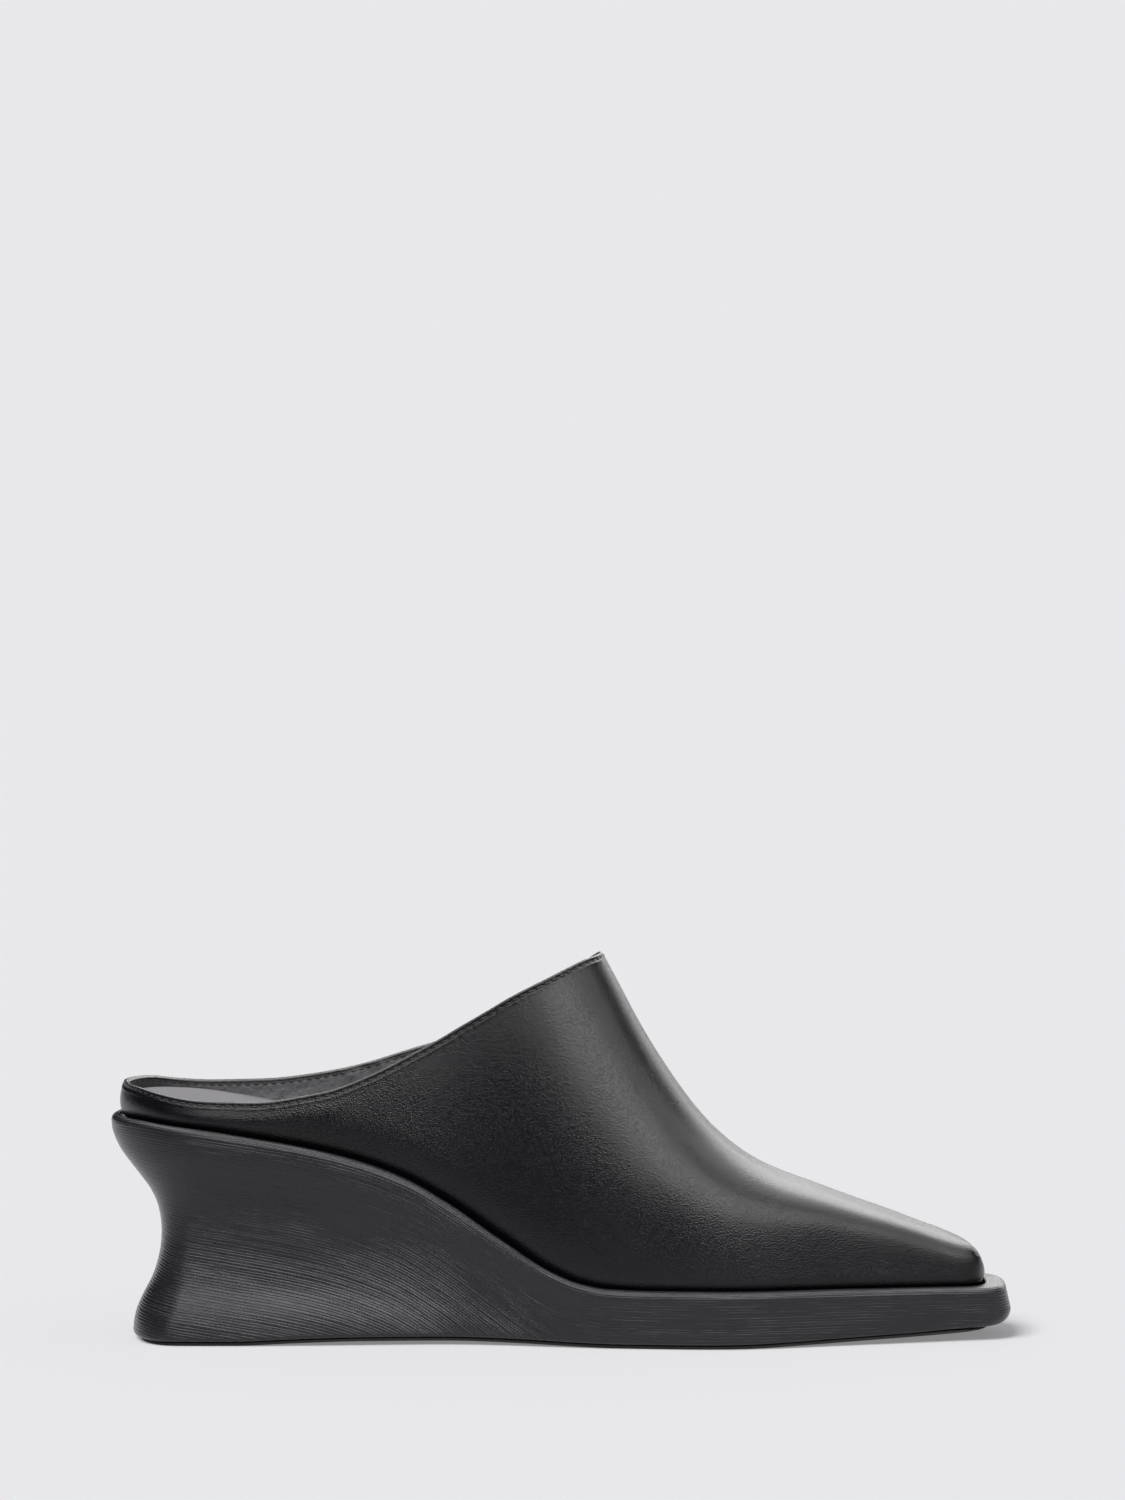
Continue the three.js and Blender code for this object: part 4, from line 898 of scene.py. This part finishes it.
# The insole
def make_insole():
    """A padded board with a sloped edge underneath, a rolled edge on top and a slight crown."""
    under = SEAT_DEPTH - GAP - UPPER_WALL - GAP
    base = dict(UPPER_OUTLINE, end=UPPER_OUTLINE["end"] - INSOLE_TOE_GAP)
    rings = []

    def ring(inset, rise):
        x, y = loop_of(inside(base, UPPER_WALL + INSOLE_EDGE_GAP + inset))
        rings.append(np.stack([x, y, above(x, rise - under)], axis=1))

    ring(INSOLE_EDGE_SLOPE, 0)
    ring(INSOLE_EDGE_SLOPE * 0.5, INSOLE_EDGE_SLOPE * 0.4)
    ring(0, INSOLE_EDGE_SLOPE)
    for turn in np.linspace(0, math.pi / 2, 8):
        ring(INSOLE_ROLL * (1 - math.cos(turn)), INSOLE_THICKNESS - INSOLE_ROLL * (1 - math.sin(turn)))
    edge = rings[-1]
    centre_x = middle_line(edge[:, 0])
    for share in np.linspace(0.04, 0.92, 18):
        x = edge[:, 0] + (centre_x - edge[:, 0]) * share
        crown = INSOLE_CROWN * math.sin(share * math.pi / 2)
        rings.append(np.stack([x, edge[:, 1] * (1 - share), above(x, INSOLE_THICKNESS + crown - under)], axis=1))
    return ring_piece("padded_insole", rings, [SOCK])


insole = make_insole()
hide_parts("insole")
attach(insole, "root")


# Floor, light and camera
PAPER = linear("#e8e8ea")  # the even tone of the floor and of all behind it
PAPER_ALBEDO = 0.7
FLOOR_SIZE, FLOOR_FRONT = 400, 0.27  # metres: its width, and how far it runs in front of the shoe's middle line
OVER, SUN_RISE, SUN_POWER = 0.25, math.radians(50), 2.6  # the dome's strength, the sun's rise and its strength


def make_floor():
    """Plain pale paper that glows a little, so that floor and background are one even tone."""
    bpy.ops.mesh.primitive_plane_add(size=FLOOR_SIZE, location=(0, FLOOR_SIZE / 2 - FLOOR_FRONT, 0))
    floor = bpy.context.object
    bpy.ops.object.transform_apply(location=True)
    floor.name = "paper_floor"
    lit = PAPER_ALBEDO * (OVER + SUN_POWER * math.sin(SUN_RISE) / math.pi / PAPER[0])
    base = tuple(PAPER_ALBEDO * c / PAPER[0] for c in PAPER[:3]) + (1,)
    material, _, _ = new_material("pale_grey_paper", base_color=base, roughness=1.0, specular_ior_level=0.0,
                                  emission_color=PAPER, emission_strength=1 - lit)
    floor.data.materials.append(material)


make_floor()


def aimed(kind, name, azimuth, rise, distance, power, across=1.0, high=1.0):
    """A lamp, as seen from the shoe: degrees from the viewer towards the toe, and degrees above the floor."""
    turn, up = math.radians(azimuth), math.radians(rise)
    way = Vector((math.sin(turn) * math.cos(up), -math.cos(turn) * math.cos(up), math.sin(up)))
    target = Vector((0, 0, 0.05))
    bpy.ops.object.light_add(type=kind, location=target + way * distance)
    lamp = bpy.context.object
    lamp.name = name
    lamp.rotation_euler = way.to_track_quat("Z", "Y").to_euler()
    lamp.data.energy = power
    lamp.visible_camera = False
    if kind == "AREA":
        lamp.data.shape = "RECTANGLE"
        lamp.data.size, lamp.data.size_y = across, high
    return lamp


daylight = aimed("SUN", "soft_key", -35, math.degrees(SUN_RISE), 3.0, SUN_POWER)
daylight.data.angle = math.radians(30)
daylight.visible_glossy = False
# The boxes give the leather and the rubber their reflections, and leave the paper even.
for name, azimuth, rise, distance, power, across, high in (
        ("right_softbox", 22, 27, 1.6, 20.0, 1.1, 0.8),
        ("far_right_softbox", 68, 30, 1.6, 8.5, 1.15, 0.95),
        ("left_softbox", -15, 40, 1.6, 12.0, 0.85, 0.9),
        ("back_panel", 157, 25, 2.2, 19.0, 1.75, 1.6)):
    aimed("AREA", name, azimuth, rise, distance, power, across, high).visible_diffuse = False
overhead = aimed("AREA", "overhead_softbox", 0, 90, 1.1, 60.0, 1.9, 2.3)
overhead.location = (0.12, 0.75, 1.15)
overhead.rotation_euler = (0, 0, 0)
overhead.visible_diffuse = False


def make_surroundings():
    """The paper's tone behind the shoe, a dim dome over it, and next to nothing for the gloss to mirror."""
    world = bpy.data.worlds.new("studio")
    world.use_nodes = True
    tree = world.node_tree
    rays = add_node(tree, "ShaderNodeLightPath").outputs
    dome = add_node(tree, "ShaderNodeMapRange", [(rays["Is Camera Ray"], "Value")], in_to_min=OVER, in_to_max=1.0)
    back = tree.nodes["Background"]
    back.inputs["Color"].default_value = PAPER
    tree.links.new(dome.outputs["Result"], back.inputs["Strength"])
    world.cycles_visibility.glossy = False
    bpy.context.scene.world = world


make_surroundings()
bpy.context.scene.view_settings.view_transform = "Standard"

# The photo's camera: 1.6 m from the shoe's middle, 7 degrees above it, with the shoe low in the frame.
VIEW_DISTANCE, VIEW_RISE, VIEW_DROP = 1.6, math.radians(7.0), math.radians(2.472)
camera_data = bpy.data.cameras.new("camera")
camera_data.sensor_fit = "VERTICAL"
camera_data.sensor_height = 36.0
camera_data.lens = 130.14
camera_data.clip_end = 50
camera = bpy.data.objects.new("camera", camera_data)
camera.location = (0.0005, -VIEW_DISTANCE * math.cos(VIEW_RISE), 0.045 + VIEW_DISTANCE * math.sin(VIEW_RISE))
camera.rotation_euler = (math.pi / 2 - VIEW_DROP, 0, 0)
bpy.context.collection.objects.link(camera)
bpy.context.scene.camera = camera
